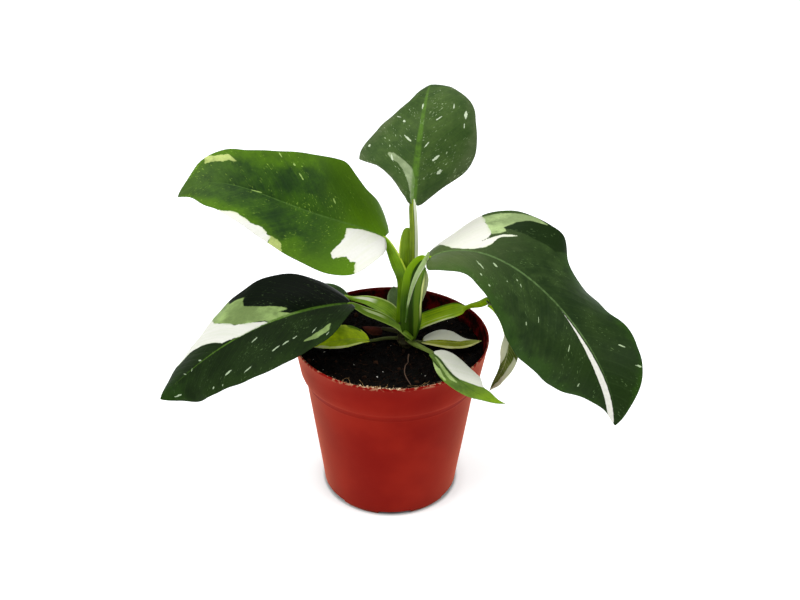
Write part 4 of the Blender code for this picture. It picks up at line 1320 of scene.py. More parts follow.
# Upper left leaf: a broad bright green blade arching to the left, with yellow-green
# mottling towards its base, a white patch beside the stalk and a white strip below.
leaf_upper_left = {
    "base": (-0.0047, 0.0146, 0.1688),
    "length": 0.1335,
    "half": (0.0378, 0.0369),
    "widest": 0.24,
    "base_width": 0.30,
    "lobe": 0.015,
    "sweep": 0.078,
    "tip_power": 0.91,
    "trim": (
        (1.05, 1.09, 1.05, 1.01, 1, 1, 1, 1.01, 1.08, 0.94, 1),
        (1.12, 1.12, 0.95, 0.98, 1.08, 1.05, 1.01, 0.99, 0.98, 0.96, 0.94, 0.93, 0.93, 0.97, 1.07,
         1.17, 1.28, 1.28, 1.04, 0.9, 1),
    ),
    "heading": (178, 190, 182, 176),
    "climb": (29, 23, 19, -56),
    "roll": (10, -5, 10, -7),
    "fold": ((-4, -18, -12), (19, 62, 23)),
    "curl": ((-21, -22, -16), (-20, -15, -17)),
    "stalk": (
        (5.6, 6.0, 113.0, 3.0, 1.6, 0.0),
        (5.0, 5.8, 118.0, 2.6, 1.3, 0.0),
        (5.8, 5.0, 130.0, 2.8, 1.2, 0.2),
        (6.6, 3.2, 142.0, 3.4, 1.0, 0.5),
        (6.0, 2.2, 150.0, 3.9, 0.9, 0.8),
        (2.9, 4.2, 157.2, 3.9, 0.9, 0.9),
        (-0.8, 9.6, 163.2, 3.0, 0.9, 0.6),
        (-4.2, 14.0, 167.7, 1.8, 1.1, 0.2),
        (-6.4, 14.8, 169.4, 1.0, 0.8, 0.0),
    ),
    "facing": (-0.3, -1.0, 0.5),
}
upper_left_look = {
    "Green": (54, 87, 20), "Deep_Green": (31, 55, 22), "Margin_Green": (84, 122, 15),
    "Base_Green": (92, 134, 13), "Base_Tint": 0.85, "Base_Reach": 0.36, "Pale": (184, 198, 118),
    "Rib": (84, 118, 52), "Fleck": (150, 178, 96), "Speck": (144, 178, 72), "Margin": 0.62,
    "Margin_Start": 0.55, "Specks": 1.0, "Veins": 0.06, "Ragged": 2.0, "Rib_Width": 0.0009,
    "Rib_Strength": 0.55, "Tip_Green": (80, 108, 44), "Tip_Tint": 0.55, "Tip_Reach": 0.55,
}
upper_left_patches = {
    "white": [
        ((0.19, 0.12), (0.13, 0.05), (0.03, 0.02), (0.0, 0.02), (-0.03, 1.4), (0.1, 1.4),
         (0.117, 0.85), (0.137, 0.83), (0.157, 0.73), (0.183, 0.73), (0.197, 0.76), (0.207, 0.8),
         (0.223, 0.67), (0.21, 0.53), (0.19, 0.34)),
        ((0.7, 1.4), (0.69, 0.99), (0.617, 0.82), (0.543, 0.84), (0.497, 0.79), (0.447, 0.88),
         (0.45, 1.4)),
    ],
    "pale": [
        ((0.45, 1.4), (0.447, 0.87), (0.42, 0.84), (0.393, 0.96), (0.4, 1.4)),
        ((0.82, -1.4), (0.77, -0.99), (0.713, -0.9), (0.687, -0.68), (0.75, -0.79), (0.81, -0.92)),
    ],
}
upper_left_flecks = (
    (0.413, -0.54, 5.5, 1.1), (0.5, -0.86, 3.6, 0.9), (0.44, -0.72, 1.8, 1.4),
    (0.26, -0.3, 3.4, 1.0), (0.62, -0.02, 9.0, 0.9, 0.1),
)
green_stalk = stalk_material("upper left stalk", (116, 156, 14), (84, 122, 8), [
    (0.86, 0.14, (168, 190, 52))])
grow_leaf("upper_left_leaf", "leaf_upper_left", leaf_upper_left, upper_left_look, green_stalk, 2.0,
          upper_left_patches, upper_left_flecks)

# Lower left leaf: dark green and hanging to the left on a winged stalk, its far half split into a
# dark sector, painted near-black as shade where that half bends away from the light, a pale green
# and a white sector that meet in ragged edges.
leaf_lower_left = {
    "base": (-0.0251, -0.0007, 0.1309),
    "length": 0.1340,
    "half": (0.0387, 0.0392),
    "widest": 0.375,
    "base_width": 0.335,
    "lobe": 0.0,
    "sweep": 0.09,
    "tip_power": 0.89,
    "trim": (
        (0.7, 1.02, 1.01, 1.01, 1.01, 1.02, 1, 1.02, 1.08, 0.96, 1),
        (1.1, 1.04, 1.08, 1.08, 1.05, 1.08, 1.05, 1, 1, 1, 1),
    ),
    "heading": (197, 194, 196, 205),
    "climb": (6, -16, -32, -42),
    "roll": (17, 2, 15, 2),
    "fold": ((4, -16, -34), (18, 26, 9)),
    "curl": ((-8, -12, -15), (-23, -22, -21)),
    "stalk": (
        (13.2, -7.4, 110.2, 1.5, 1.3, 0.0),
        (9.4, -6.6, 113.2, 1.8, 1.2, 0.3),
        (3.6, -2.4, 116.0, 2.0, 1.0, 0.6),
        (-2.4, 0.4, 118.4, 2.8, 0.8, 1.1),
        (-8.6, 1.0, 121.2, 3.1, 0.8, 1.3),
        (-15.9, 0.0, 124.9, 2.8, 0.9, 1.0),
        (-24.2, -0.6, 130.2, 1.7, 1.1, 0.2),
        (-27.2, -1.4, 131.0, 1.0, 0.8, 0.0),
    ),
    "facing": (0.2, -0.6, 0.8),
}
# The near-black Dark_Sector colour is painted shade on the far half where it bends away from the
# light.
lower_left_look = {
    "Green": (27, 44, 14), "Deep_Green": (18, 32, 9), "Dark_Sector": (3, 14, 1),
    "Margin_Green": (32, 52, 14), "Pale": (150, 176, 106), "Fleck": (160, 178, 146),
    "Rib": (76, 110, 34), "Speck": (104, 130, 80), "Margin": 0.4, "Specks": 0.6, "Veins": 0.03,
    "Ragged": 1.9, "Rib_Width": 0.0015, "Rib_Strength": 0.9, "White": (214, 214, 206),
    "Tip_Green": (36, 68, 12), "Tip_Tint": 0.5, "Tip_Reach": 0.78,
}
painted_shade_edge = (
    (0.452, -0.93), (0.41, -0.86), (0.385, -0.8), (0.4, -0.74), (0.423, -0.57), (0.38, -0.36),
    (0.31, -0.2), (0.29, -0.13), (0.363, -0.16), (0.323, -0.09),
)
white_edge = ((0.56, -1.4), (0.553, -0.77), (0.517, -0.3), (0.483, -0.19), (0.44, -0.12))
lower_left_patches = {
    "dark": [
        ((0.0, -1.4), (0.47, -1.4), *painted_shade_edge, (0.283, -0.01), (0.0, -0.01)),
    ],
    "pale": [
        ((0.47, -1.4), *white_edge, (0.4, -0.08), (0.38, 0.0), (0.24, 0.0), (0.283, -0.02),
         *reversed(painted_shade_edge)),
        ((0.205, 0.77), (0.153, 0.74), (0.107, 0.69), (0.12, 0.83), (0.157, 0.86)),
    ],
    "white": [
        (*white_edge, (0.38, 0.0), (0.53, 0.01), (0.62, -0.09), (0.677, -0.5), (0.737, -0.76),
         (0.82, -0.9), (0.86, -1.4)),
    ],
}
lower_left_flecks = (
    (0.457, 0.25, 5.0, 1.3, 0.55), (0.293, 0.61, 5.0, 1.5, 0.4), (0.333, 0.63, 6.0, 1.3, 0.45),
    (0.253, 0.58, 3.4, 1.3, 0.4), (0.747, -0.08, 2.6, 1.4), (0.567, 0.7, 5.2, 1.8, 0.15),
    (0.457, 0.81, 6.4, 1.2, 0.3), (0.9, 0.66, 7.0, 1.0, -0.45), (0.17, 0.63, 4.0, 1.0),
    (0.12, 0.92, 2.4, 0.9), (0.8, 0.02, 3.0, 0.6), (0.84, -0.06, 3.4, 0.6), (0.66, 0.86, 1.8, 1.4),
    (0.6, 0.9, 1.6, 1.0),
)
lower_left_stalk = stalk_material("lower left stalk", (116, 150, 30), (72, 104, 20), [
    (0.3, 0.26, (188, 204, 140), 0.02, 0.04), (0.95, 0.09, (168, 188, 112), 0.012, 0.06),
    (-0.9, 0.12, (140, 166, 70))])
grow_leaf("lower_left_leaf", "leaf_lower_left", leaf_lower_left, lower_left_look,
          lower_left_stalk, 3.0, lower_left_patches, lower_left_flecks)

# Right leaf: the largest blade, arching over to the right and hanging down, deep green
# with a white sector at its base and a cream midrib that widens to the tip.
leaf_right = {
    "base": (0.0214, -0.0008, 0.1628),
    "length": 0.1718,
    "half": (0.0513, 0.0449),
    "widest": 0.37,
    "base_width": 0.335,
    "lobe": 0.007,
    "sweep": 0.056,
    "tip_power": 1.0,
    "trim": (
        (0.8, 0.92, 0.96, 1.06, 1.03, 0.98, 1.01, 1.06, 0.87, 0.82, 0.91, 0.97, 0.94, 0.98, 1.0,
         0.98, 1.04, 1.09, 1.06, 1.02, 1),
        (1.02, 1.04, 0.99, 0.97, 1.01, 1.03, 1.04, 1.04, 1.05, 1.05, 1.04, 1.01, 1, 1.03, 1.07, 1.1,
         1.08, 0.94, 0.84, 0.76, 1),
    ),
    "heading": (6, -20, -35, -48),
    "climb": (33, -27, -46, -85),
    "roll": (-16, -8, 2, 45),
    "fold": ((12, 17, 8, 19), (4, -4, -23, -21)),
    "curl": ((-19, -14, -20, -1), (-18, -21, -24, -14)),
    "wave": (-0.0090, 1.94, 0.25),
    "stalk": (
        (12.4, -1.4, 106.0, 3.0, 1.5, 0.6),
        (11.6, -2.2, 112.5, 5.2, 1.2, 2.0),
        (11.0, -2.8, 121.0, 6.9, 1.0, 2.8),
        (10.9, -3.2, 133.0, 7.0, 0.9, 3.0),
        (11.6, -3.6, 145.0, 7.1, 0.9, 3.0),
        (13.2, -3.4, 155.0, 6.9, 0.9, 2.6),
        (16.6, -2.6, 161.4, 4.8, 1.1, 1.4),
        (20.4, -1.2, 162.9, 2.5, 1.2, 0.4),
        (23.6, -0.8, 163.8, 1.1, 0.9, 0.0),
    ),
    "facing": (0.35, -1.0, 0.3),
}
right_wing = (
    (8.6, -5.2, 121.0, 0.3, 0.4, 0.0),
    (9.6, -6.6, 133.2, 0.8, 0.5, 0.1),
    (12.0, -7.4, 146.8, 1.4, 0.5, 0.3),
    (15.2, -7.4, 156.4, 1.8, 0.5, 0.3),
    (18.8, -6.6, 163.2, 1.9, 0.4, 0.2),
    (20.8, -5.6, 167.4, 1.3, 0.4, 0.1),
    (21.4, -5.0, 169.8, 0.4, 0.3, 0.0),
)
# The greyer pale base and the darker tip are partly the blade's own colour and partly painted sheen
# on the base and painted shade on the hanging tip.
right_look = {
    "Green": (50, 70, 32), "Deep_Green": (30, 48, 20), "Margin_Green": (48, 84, 18),
    "Base_Green": (86, 104, 58), "Base_Tint": 0.8, "Base_Reach": 0.34, "Tip_Green": (28, 46, 14),
    "Tip_Tint": 0.9, "Tip_Reach": 0.36, "Dark_Sector": (24, 42, 12), "Pale": (178, 202, 138),
    "Rib": (104, 134, 80), "Fleck": (166, 186, 146), "Speck": (104, 132, 80), "Margin": 0.4,
    "Margin_Start": 0.68, "Specks": 0.7, "Veins": 0.03, "Ragged": 1.4, "Rib_Width": 0.0014,
    "Streak_From": 0.35, "Streak_Width": 0.0017, "Streak_Shift": -0.0026, "Rib_Strength": 0.6,
    "White": (224, 223, 213),
}
right_patches = {
    "white": [
        ((0.0, 0.55), (0.045, 0.42), (0.07, 0.2), (0.09, 0.08), (0.127, 0.04), (0.163, 0.06),
         (0.197, 0.15), (0.213, 0.27), (0.217, 0.37), (0.223, 0.43), (0.247, 0.5), (0.257, 0.55),
         (0.243, 0.535), (0.222, 0.485), (0.205, 0.41), (0.18, 0.27), (0.19, 0.36), (0.193, 0.46),
         (0.178, 0.58), (0.16, 0.77), (0.148, 0.97), (0.144, 1.4), (0.0, 1.4)),
    ],
    "pale": [
        ((0.148, 0.97), (0.16, 0.77), (0.178, 0.58), (0.193, 0.46), (0.212, 0.51), (0.22, 0.57),
         (0.207, 0.63), (0.214, 0.7), (0.232, 0.81), (0.252, 0.89), (0.268, 0.92), (0.292, 0.97),
         (0.22, 0.955)),
    ],
    "dark": [
        ((0.2, 0.6), (0.23, 0.62), (0.3, 0.64), (0.36, 0.72), (0.42, 1.4), (0.3, 1.4), (0.26, 0.93),
         (0.22, 0.8)),
    ],
}
right_flecks = (
    (0.186, -0.48, 8.4, 1.8), (0.246, -0.245, 5.6, 2.4), (0.19, -0.73, 2.6, 1.5),
    (0.23, -0.82, 2.2, 1.5), (0.34, -0.23, 1.6, 1.4), (0.36, -0.27, 3.2, 0.8),
    (0.3, -0.42, 1.4, 1.2), (0.475, -0.45, 4.2, 1.0), (0.433, -0.66, 2.0, 1.3),
    (0.725, 0.645, 4.4, 1.2), (0.643, -0.345, 4.0, 0.8), (0.8, 0.93, 4.2, 1.4),
    (0.773, -0.69, 2.2, 1.4),
)
# The dark green stripe along the middle of the stalk is painted shade in its open channel.
right_stalk_skin = stalk_material("right stalk", (78, 118, 20), (46, 80, 12), [
    (-0.62, 0.4, (128, 168, 8), 0.03, 0.078), (0.04, 0.2, (48, 76, 10)),
    (0.54, 0.2, (108, 142, 34)), (0.9, 0.07, (232, 240, 150), 0.012, 0.056)])
wing_skin = stalk_material("right sheath wing", (196, 220, 156), (160, 190, 110), [
    (0.9, 0.25, (222, 234, 190)), (0.0, 1.2, (92, 130, 50), 0.298, 0.316)])
grow_leaf("right_leaf", "leaf_right", leaf_right, right_look, right_stalk_skin, 4.0,
          right_patches, right_flecks, [(right_wing, (0.6, -1.0, 0.3), 0.5, wing_skin)])

# Back left leaf: a small blade behind the rim on a broad, light green winged sheath
# that lies over the soil.
leaf_back_left = {
    "base": (-0.0305, 0.0376, 0.1130),
    "length": 0.0275,
    "half": (0.0085, 0.0060),
    "widest": 0.40,
    "base_width": 0.30,
    "lobe": 0.02,
    "sweep": 0.06,
    "tip_power": 1.0,
    "heading": (145, 150, 165),
    "climb": (26, 4, -24),
    "roll": (10, 5, 0),
    "fold": ((15, 5), (15, 5)),
    "curl": ((-15, -15), (-15, -15)),
    "stalk": (
        (6.0, 9.0, 110.0, 3.0, 0.9, 0.6),
        (-0.6, 12.4, 117.0, 4.9, 0.8, 1.8),
        (-8.0, 19.0, 118.6, 4.6, 0.8, 1.8),
        (-17.0, 28.0, 117.0, 3.2, 0.8, 1.2),
        (-26.0, 35.4, 114.2, 1.6, 1.0, 0.2),
        (-31.6, 38.8, 114.2, 0.9, 0.8, 0.0),
    ),
    "facing": (0.0, -0.6, 0.8),
}
back_left_look = {
    "Green": (54, 78, 34), "Deep_Green": (36, 56, 24), "Margin_Green": (78, 110, 34), "Margin": 0.5,
    "Specks": 0.3, "Veins": 0.15, "Rib_Width": 0.0007,
}
sheath_green = stalk_material("back left sheath", (138, 172, 36), (92, 134, 12), [
    (0.3, 0.34, (222, 228, 200), 0.022, 0.046), (0.95, 0.08, (186, 206, 120))])
grow_leaf("back_left_leaf", "leaf_back_left", leaf_back_left, back_left_look, sheath_green, 5.0)

# Front left leaf: a small yellow-green blade with a pale margin, lying over the soil on
# a short, thin stalk from the foot of the stem.
leaf_front_left = {
    "base": (-0.0140, -0.0020, 0.1050),
    "length": 0.0355,
    "half": (0.0099, 0.0123),
    "widest": 0.37,
    "base_width": 0.28,
    "lobe": 0.0,
    "sweep": 0.053,
    "tip_power": 1.0,
    "heading": (187, 195, 199),
    "climb": (21, -2, -12),
    "roll": (8, -9, 0),
    "fold": ((22, 7), (14, 15)),
    "curl": ((-6, -12), (-11, -10)),
    "stalk": (
        (6.0, 4.0, 104.0, 1.3, 1.2, 0.0),
        (-3.0, 3.0, 104.2, 1.2, 1.1, 0.0),
        (-9.0, 0.6, 104.4, 1.1, 1.1, 0.0),
        (-14.2, -2.0, 104.9, 1.0, 1.0, 0.0),
        (-16.2, -2.4, 105.4, 0.7, 0.7, 0.0),
    ),
    "facing": (0.0, -0.5, 0.9),
}
front_left_look = {
    "Green": (206, 232, 26), "Deep_Green": (124, 156, 4), "Margin_Green": (226, 236, 90),
    "Dark_Sector": (92, 124, 12), "Pale": (226, 232, 170), "Margin": 0.6, "Specks": 0.2,
    "Veins": 0.3, "Rib": (150, 164, 60), "Rib_Width": 0.0007, "Ragged": 0.6,
}
front_left_patches = {
    "pale": [
        ((0.1, 1.4), (0.15, 0.86), (0.4, 0.84), (0.7, 0.8), (0.9, 0.4), (1.0, 1.4)),
    ],
    "dark": [
        ((0.1, -1.4), (0.12, -0.7), (0.3, -0.86), (0.34, -1.4)),
    ],
}
dim_stalk = stalk_material("front left stalk", (96, 108, 52), (62, 70, 34))
grow_leaf("front_left_leaf", "leaf_front_left", leaf_front_left, front_left_look, dim_stalk, 6.0,
          front_left_patches)

# Far right leaf: a broad light green sheath reaching over the right rim, then a thin
# stalk that bends down into a narrow hanging blade, half pale and half olive.
leaf_far_right = {
    "base": (0.0612, 0.0058, 0.1300),
    "length": 0.0620,
    "half": (0.0080, 0.0042),
    "widest": 0.50,
    "base_width": 0.30,
    "lobe": 0.045,
    "sweep": 0.062,
    "tip_power": 1.0,
    "trim": (
        (1, 1, 1, 1, 1, 0.97, 0.9, 0.9, 0.96, 1.3, 1),
        (3.0, 0.4, 0.1, 0.3, 1.0, 1.14, 0.9, 0.74, 0.8, 1, 1),
    ),
    "heading": (-10, -58, -120, -150),
    "climb": (-30, -64, -54, -58),
    "roll": (-5, -16, -13, 1),
    "fold": ((-30, 0), (4, 8)),
    "curl": ((0, 0), (0, 0)),
    "stalk": (
        (12.0, 6.8, 108.6, 3.6, 0.9, 0.6),
        (19.1, 9.4, 113.0, 4.8, 0.7, 1.2),
        (30.5, 13.0, 115.9, 4.9, 0.7, 1.8),
        (39.0, 14.6, 118.0, 4.9, 0.7, 1.7),
        (44.0, 14.8, 119.2, 3.8, 0.8, 1.1),
        (46.6, 14.2, 120.8, 1.7, 1.1, 0.2),
        (50.0, 12.4, 123.4, 1.8, 1.4, 0.0),
        (55.1, 9.0, 126.8, 2.4, 1.6, 0.0),
        (59.6, 6.6, 130.4, 2.7, 1.8, 0.0),
        (61.6, 5.0, 129.6, 1.6, 1.3, 0.0),
    ),
    "facing": (0.0, -0.6, 0.8),
}
far_right_look = {
    "Green": (132, 142, 66), "Deep_Green": (78, 94, 32), "Margin_Green": (176, 178, 150),
    "Pale": (186, 188, 160), "White": (208, 210, 176), "Margin": 0.8, "Specks": 0.4, "Veins": 0.3,
    "Rib": (186, 186, 140), "Rib_Width": 0.0008, "Ragged": 1.0, "Margin_Start": 0.75,
    "Rib_Strength": 0.6, "Base_Green": (60, 92, 20), "Base_Tint": 1.0, "Base_Reach": 0.2,
}
far_right_patches = {
    "white": [
        ((0.25, -1.4), (0.3, 0.1), (0.5, 0.04), (0.62, -0.3), (0.74, -1.4)),
        ((0.56, 0.62), (0.7, 0.4), (0.86, 0.5), (1.0, 0.2), (1.0, 1.4), (0.62, 1.4)),
    ],
}
far_right_sheath = stalk_material("far right sheath", (160, 192, 14), (112, 152, 0), [
    (0.9, 0.12, (214, 222, 160), 0.002, 0.034), (0.4, 0.05, (186, 206, 96), 0.004, 0.032),
    (-0.94, 0.1, (92, 130, 10))])
grow_leaf("far_right_leaf", "leaf_far_right", leaf_far_right, far_right_look, far_right_sheath,
          7.0, far_right_patches)

# Middle right leaf: a small blade over the soil, white above its midrib and yellow-green
# below, with a few brown spots.
leaf_mid_right = {
    "base": (0.0193, 0.0000, 0.1036),
    "length": 0.0382,
    "half": (0.0116, 0.0082),
    "widest": 0.37,
    "base_width": 0.28,
    "lobe": 0.0,
    "sweep": 0.050,
    "tip_power": 1.03,
    "trim": (
        (1, 1, 1.05, 1.08, 1.05, 1, 0.8, 0.62, 0.6, 0.8, 1),
        (1, 1, 1.02, 1.04, 1.04, 1.04, 1.1, 1.1, 1.05, 1, 1),
    ),
    "heading": (-6, 5, 14),
    "climb": (10, -5, 6),
    "roll": (-13, 0, -7),
    "fold": ((18, 6), (12, 7)),
    "curl": ((-8, -14), (-9, -11)),
    "stalk": (
        (12.0, 1.6, 103.4, 1.3, 1.2, 0.0),
        (16.5, 0.6, 103.4, 1.2, 1.1, 0.0),
        (19.6, 0.0, 103.5, 1.0, 1.0, 0.0),
        (21.6, -0.2, 103.7, 0.7, 0.7, 0.0),
    ),
    "facing": (0.0, -0.5, 0.9),
}
mid_right_look = {
    "Green": (136, 146, 18), "Deep_Green": (98, 106, 10), "Margin_Green": (206, 208, 140),
    "White": (208, 209, 198), "Margin": 0.8, "Specks": 0.1, "Veins": 0.2, "Rib": (164, 172, 80),
    "Rib_Width": 0.0006, "Ragged": 0.9, "Margin_Start": 0.6, "Tip_Green": (150, 160, 80),
    "Tip_Tint": 0.8, "Tip_Reach": 0.6, "Dark_Sector": (62, 44, 20), "Pale": (206, 204, 140),
}
mid_right_patches = {
    "white": [
        ((0.02, 0.1), (0.3, 0.16), (0.47, 0.14), (0.65, 0.12), (0.8, 0.42), (0.9, 1.4), (0.0, 1.4)),
    ],
    "pale": [
        ((0.05, -1.4), (0.08, -0.86), (0.4, -0.84), (0.72, -0.86), (0.9, -0.7), (1.0, -1.4)),
    ],
    "dark": [
        ((0.56, -0.62), (0.585, -0.6), (0.58, -0.74), (0.555, -0.76)),
        ((0.68, -0.5), (0.71, -0.5), (0.7, -0.66)),
        ((0.3, -0.8), (0.34, -0.78), (0.33, -0.9)),
        ((0.46, -0.86), (0.52, -0.84), (0.5, -0.95)),
        ((0.4, 0.04), (0.43, 0.03), (0.42, -0.08)),
    ],
}
grow_leaf("middle_right_leaf", "leaf_mid_right", leaf_mid_right, mid_right_look, dim_stalk, 8.0,
          mid_right_patches)

# Front leaf: leans over the pot's front rim, its far half white, its near half mottled
# green, and its drawn-out tip bright green.
leaf_front = {
    "base": (0.0250, -0.0200, 0.1084),
    "length": 0.0700,
    "half": (0.0125, 0.0085),
    "widest": 0.363,
    "base_width": 0.26,
    "lobe": 0.0,
    "sweep": 0.053,
    "tip_power": 0.98,
    "trim": (
        (1, 1, 1, 1, 1.1, 1.22, 1.14, 1.02, 1.3, 1.3, 1),
        (0.7, 0.62, 0.82, 0.95, 1, 1, 1, 0.97, 0.8, 0.86, 1),
    ),
    "heading": (-59, -63, 1),
    "climb": (9, 1, -13),
    "roll": (3, -6, 1),
    "fold": ((10, 0), (0, -4)),
    "curl": ((-10, -13), (-8, -14)),
    "stalk": (
        (9.6, 1.0, 105.8, 2.1, 1.7, 0.0),
        (13.6, -6.2, 106.6, 2.0, 1.5, 0.0),
        (18.6, -12.0, 107.2, 1.7, 1.3, 0.2),
        (24.4, -19.0, 108.2, 1.4, 1.0, 0.2),
        (25.6, -21.8, 108.6, 0.8, 0.8, 0.0),
    ),
    "facing": (0.0, -0.5, 0.9),
}
front_look = {
    "Green": (96, 122, 52), "Deep_Green": (70, 94, 38), "Margin_Green": (98, 130, 44),
    "Dark_Sector": (44, 62, 24), "Pale": (168, 190, 120), "White": (210, 211, 200), "Margin": 0.7,
    "Specks": 0.3, "Veins": 0.2, "Rib": (60, 90, 30), "Rib_Width": 0.0007, "Ragged": 0.8,
    "Tip_Green": (118, 152, 22), "Tip_Tint": 0.9, "Tip_Reach": 0.5,
}
front_patches = {
    "white": [
        ((0.0, 0.04), (0.1, 0.05), (0.19, 0.02), (0.3, -0.05), (0.44, -0.04), (0.53, 0.06),
         (0.6, 0.34), (0.66, 0.66), (0.74, 1.4), (-0.05, 1.4)),
    ],
    "dark": [
        ((0.03, -0.04), (0.12, -0.16), (0.3, -0.24), (0.45, -0.2), (0.56, -0.1), (0.52, 0.04),
         (0.3, -0.04), (0.1, 0.06)),
        ((0.08, -0.6), (0.25, -0.5), (0.42, -0.75), (0.3, -0.85)),
    ],
    "pale": [
        ((0.1, -0.22), (0.24, -0.34), (0.46, -0.52), (0.54, -0.36), (0.36, -0.3)),
        ((0.14, -0.76), (0.3, -0.66), (0.44, -0.86), (0.3, -0.94)),
    ],
}
front_stalk = stalk_material("front stalk", (112, 130, 58), (76, 94, 34))
grow_leaf("front_leaf", "leaf_front", leaf_front, front_look, front_stalk, 9.0, front_patches)

# Behind leaf: a very small grey-green blade standing behind the stalks, on a short
# stalk of its own from the back of the stem.
leaf_behind = {
    "base": (0.0046, 0.0160, 0.1125),
    "length": 0.0200,
    "half": (0.0056, 0.0060),
    "widest": 0.50,
    "base_width": 0.45,
    "lobe": 0.0,
    "sweep": 0.05,
    "tip_power": 0.8,
    "heading": (112, 108, 100),
    "climb": (56, 50, 42),
    "roll": (-10, -5, 0),
    "fold": ((10, 5), (10, 5)),
    "curl": ((-15, -15), (-15, -15)),
    "stalk": (
        (8.0, 6.0, 104.8, 1.6, 1.3, 0.0),
        (6.6, 12.0, 106.6, 1.5, 1.2, 0.0),
        (4.8, 15.6, 111.4, 1.3, 1.1, 0.0),
        (4.0, 17.0, 114.2, 0.8, 0.7, 0.0),
    ),
    "facing": (0.0, -1.0, 0.3),
}
behind_look = {
    "Green": (112, 134, 92), "Deep_Green": (84, 106, 66), "Margin_Green": (152, 170, 128),
    "Margin": 0.6, "Specks": 0.1, "Veins": 0.1, "Rib_Width": 0.0005,
}
grow_leaf("behind_leaf", "leaf_behind", leaf_behind, behind_look, dim_stalk, 10.0)

# Young sheath: the pale green, half-rolled spear of a new leaf. It grows from the stem
# behind the right stalk, soft and still without a midrib.
young_sheath = {
    "base": (0.0146, 0.0148, 0.1190),
    "length": 0.0290,
    "half": (0.0040, 0.0036),
    "widest": 0.50,
    "base_width": 0.50,
    "lobe": 0.0,
    "sweep": 0.0,
    "tip_power": 0.8,
    "heading": (60, 10, 140),
    "climb": (66, 76, 78),
    "roll": (0, 20, 0),
    "fold": ((-15, -10), (-15, -10)),
    "curl": ((-20, -20), (-20, -20)),
    "stalk": (
        (10.0, 8.0, 106.6, 1.4, 1.2, 0.0),
        (11.2, 12.8, 110.0, 1.4, 1.2, 0.0),
        (13.8, 14.8, 116.2, 1.4, 1.0, 0.0),
        (14.8, 15.0, 120.0, 0.8, 0.6, 0.0),
    ),
    "facing": (0.0, -1.0, 0.3),
    "rib": False,
}
young_look = {
    "Green": (224, 230, 180), "Deep_Green": (196, 208, 144), "Margin_Green": (232, 238, 200),
    "Margin": 0.8, "Specks": 0.0, "Veins": 0.3, "Rib_Width": 0.0004,
}
young_stalk = stalk_material("young stalk", (140, 160, 80), (104, 128, 50))
grow_leaf("young_sheath", "young_sheath", young_sheath, young_look, young_stalk, 11.0)

# Old sheath: the dried, red-brown papery sheath of a lost leaf, curled on the soil and
# still held by its withered stalk.
old_sheath = {
    "base": (-0.0056, 0.0105, 0.1068),
    "length": 0.0130,
    "half": (0.0058, 0.0050),
    "widest": 0.45,
    "base_width": 0.60,
    "lobe": 0.0,
    "sweep": 0.0,
    "tip_power": 0.6,
    "heading": (178, 170, 182),
    "climb": (8, 0, -12),
    "roll": (-10, 5, 20),
    "fold": ((-10, -20), (-10, -25)),
    "curl": ((-70, -80), (-70, -60)),
    "stalk": (
        (6.0, 7.4, 106.0, 1.4, 1.0, 0.0),
        (-1.0, 9.4, 106.6, 1.6, 1.0, 0.0),
        (-6.4, 10.6, 106.8, 1.2, 0.7, 0.0),
    ),
    "facing": (0.0, -0.5, 0.9),
    "rib": False,
}
old_look = {
    "Green": (96, 44, 34), "Deep_Green": (58, 28, 22), "Margin_Green": (132, 84, 66), "Margin": 0.5,
    "Specks": 0.0, "Veins": 0.5, "Rib": (70, 34, 26), "Rib_Width": 0.0004,
}
dry_stalk = stalk_material("dry stalk", (84, 82, 50), (50, 44, 26), specular=0.1)
grow_leaf("old_sheath", "old_sheath", old_sheath, old_look, dry_stalk, 12.0)

# Surface root: one thin pale root leaves the foot of the stem and lies across the soil
# towards the front, thinning to its end.
root_rows = (
    (11.0, -8.0, 99.4, 0.5, 0.5, 0.0),
    (10.6, -14.0, 99.8, 0.4, 0.4, 0.0),
    (10.5, -20.0, 101.2, 0.3, 0.3, 0.0),
    (9.0, -24.0, 101.5, 0.3, 0.3, 0.0),
    (8.4, -30.0, 101.1, 0.3, 0.3, 0.0),
    (9.4, -36.0, 101.2, 0.28, 0.28, 0.0),
    (12.3, -44.0, 100.9, 0.16, 0.16, 0.0),
)
points, faces, place = loft_net(smooth_path(np.array(root_rows) * MM, 8), (0.0, 0.0, 1.0))
root = make_piece("surface_root", points, faces, {"place": place}, weld=FINE_WELD)
root.data.materials.append(stalk_material("root skin", (112, 88, 72), (58, 42, 34), specular=0.2))
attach(root, "root")

# Studio: a plain pale floor that glows a little, except in a ring at the pot's foot where the
# missing glow paints a contact shadow, soft light from overhead and both sides, and a camera at the
# photograph's height and angle.
FLOOR_SIZE = 6.0
FLOOR_LEVEL = -0.0002
FLOOR_GLOW = 0.58
PAINTED_SHADOW_NEAR = (0.0436, 0.0462, 0.0, 0.8)
PAINTED_SHADOW_FAR = (0.0450, 0.0540, 0.0, 0.2)
BLACK = (0.0, 0.0, 0.0, 1.0)
WHITE = (1.0, 1.0, 1.0, 1.0)
SKY_STRENGTH = 0.30
CAMERA_AIM = Vector((0.0050, 0.0, 0.1338))
CAMERA_DISTANCE = 0.6145
CAMERA_CLIMB = radians(29.67)
CAMERA_ROLL = radians(0.88)
SOFT_BOXES = (
    ("overhead softbox", (-0.10, 0.30, 2.00), 3.0, 44.0),
    ("left softbox", (-1.10, -0.50, 1.40), 1.2, 18.0),
    ("right softbox", (1.20, -0.40, 1.20), 1.0, 9.0),
)

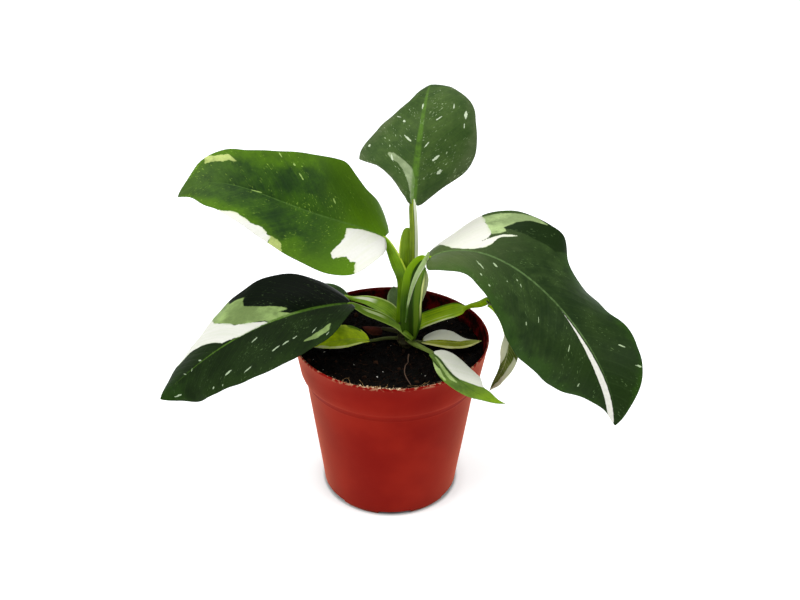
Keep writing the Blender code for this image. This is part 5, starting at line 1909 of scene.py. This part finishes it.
corners = [(x * FLOOR_SIZE / 2, y * FLOOR_SIZE / 2, FLOOR_LEVEL)
           for x, y in ((-1, -1), (1, -1), (1, 1), (-1, 1))]
mesh = bpy.data.meshes.new("floor")
mesh.from_pydata(corners, [], [(0, 1, 2, 3)])
floor = bpy.data.objects.new("studio_floor", mesh)
bpy.context.scene.collection.objects.link(floor)
paper, tree, shader = new_material("pale paper", 0.0, Roughness=0.9, Emission_Strength=FLOOR_GLOW)
spot = own_place(tree)
mottle = grainy(tree, spot, 3.0, 2)
tone = blended(tree, mottle, (0.66, 0.69, 0.69, 1.0), (0.70, 0.73, 0.73, 1.0))
tree.links.new(tone, shader.inputs["Base Color"])
reach = add(tree, "ShaderNodeVectorMath", {0: spot}, operation="LENGTH").outputs["Value"]
# The glow fades out in a ring at the pot's foot: a painted contact shadow.
glow_with_painted_shadow = plus(tree, eased(tree, reach, *PAINTED_SHADOW_NEAR), eased(tree, reach, *PAINTED_SHADOW_FAR))
tree.links.new(blended(tree, glow_with_painted_shadow, BLACK, WHITE), shader.inputs["Emission Color"])
floor.data.materials.append(paper)

world = bpy.data.worlds.new("studio light")
world.use_nodes = True
sky = world.node_tree.nodes["Background"]
sky.inputs["Color"].default_value = WHITE
sky.inputs["Strength"].default_value = SKY_STRENGTH
bpy.context.scene.world = world
for name, place, size, power in SOFT_BOXES:
    light = bpy.data.lights.new(name, "AREA")
    light.size = size
    light.energy = power
    lamp = bpy.data.objects.new(name, light)
    lamp.location = place
    lamp.rotation_euler = (CAMERA_AIM - Vector(place)).to_track_quat("-Z", "Y").to_euler()
    bpy.context.scene.collection.objects.link(lamp)

back = Vector((0.0, -cos(CAMERA_CLIMB), sin(CAMERA_CLIMB)))
right = Vector((1.0, 0.0, 0.0))
up = back.cross(right)
level = cos(CAMERA_ROLL) * right + sin(CAMERA_ROLL) * up
upright = -sin(CAMERA_ROLL) * right + cos(CAMERA_ROLL) * up
lens = bpy.data.cameras.new("camera")
lens.lens = 45.0
lens.sensor_width = 36.0
lens.clip_start = 0.01
camera = bpy.data.objects.new("camera", lens)
turn = Matrix((level, upright, back)).transposed().to_4x4()
camera.matrix_world = Matrix.Translation(CAMERA_AIM + back * CAMERA_DISTANCE) @ turn
bpy.context.scene.collection.objects.link(camera)
bpy.context.scene.camera = camera
bpy.context.scene.view_settings.view_transform = "Standard"
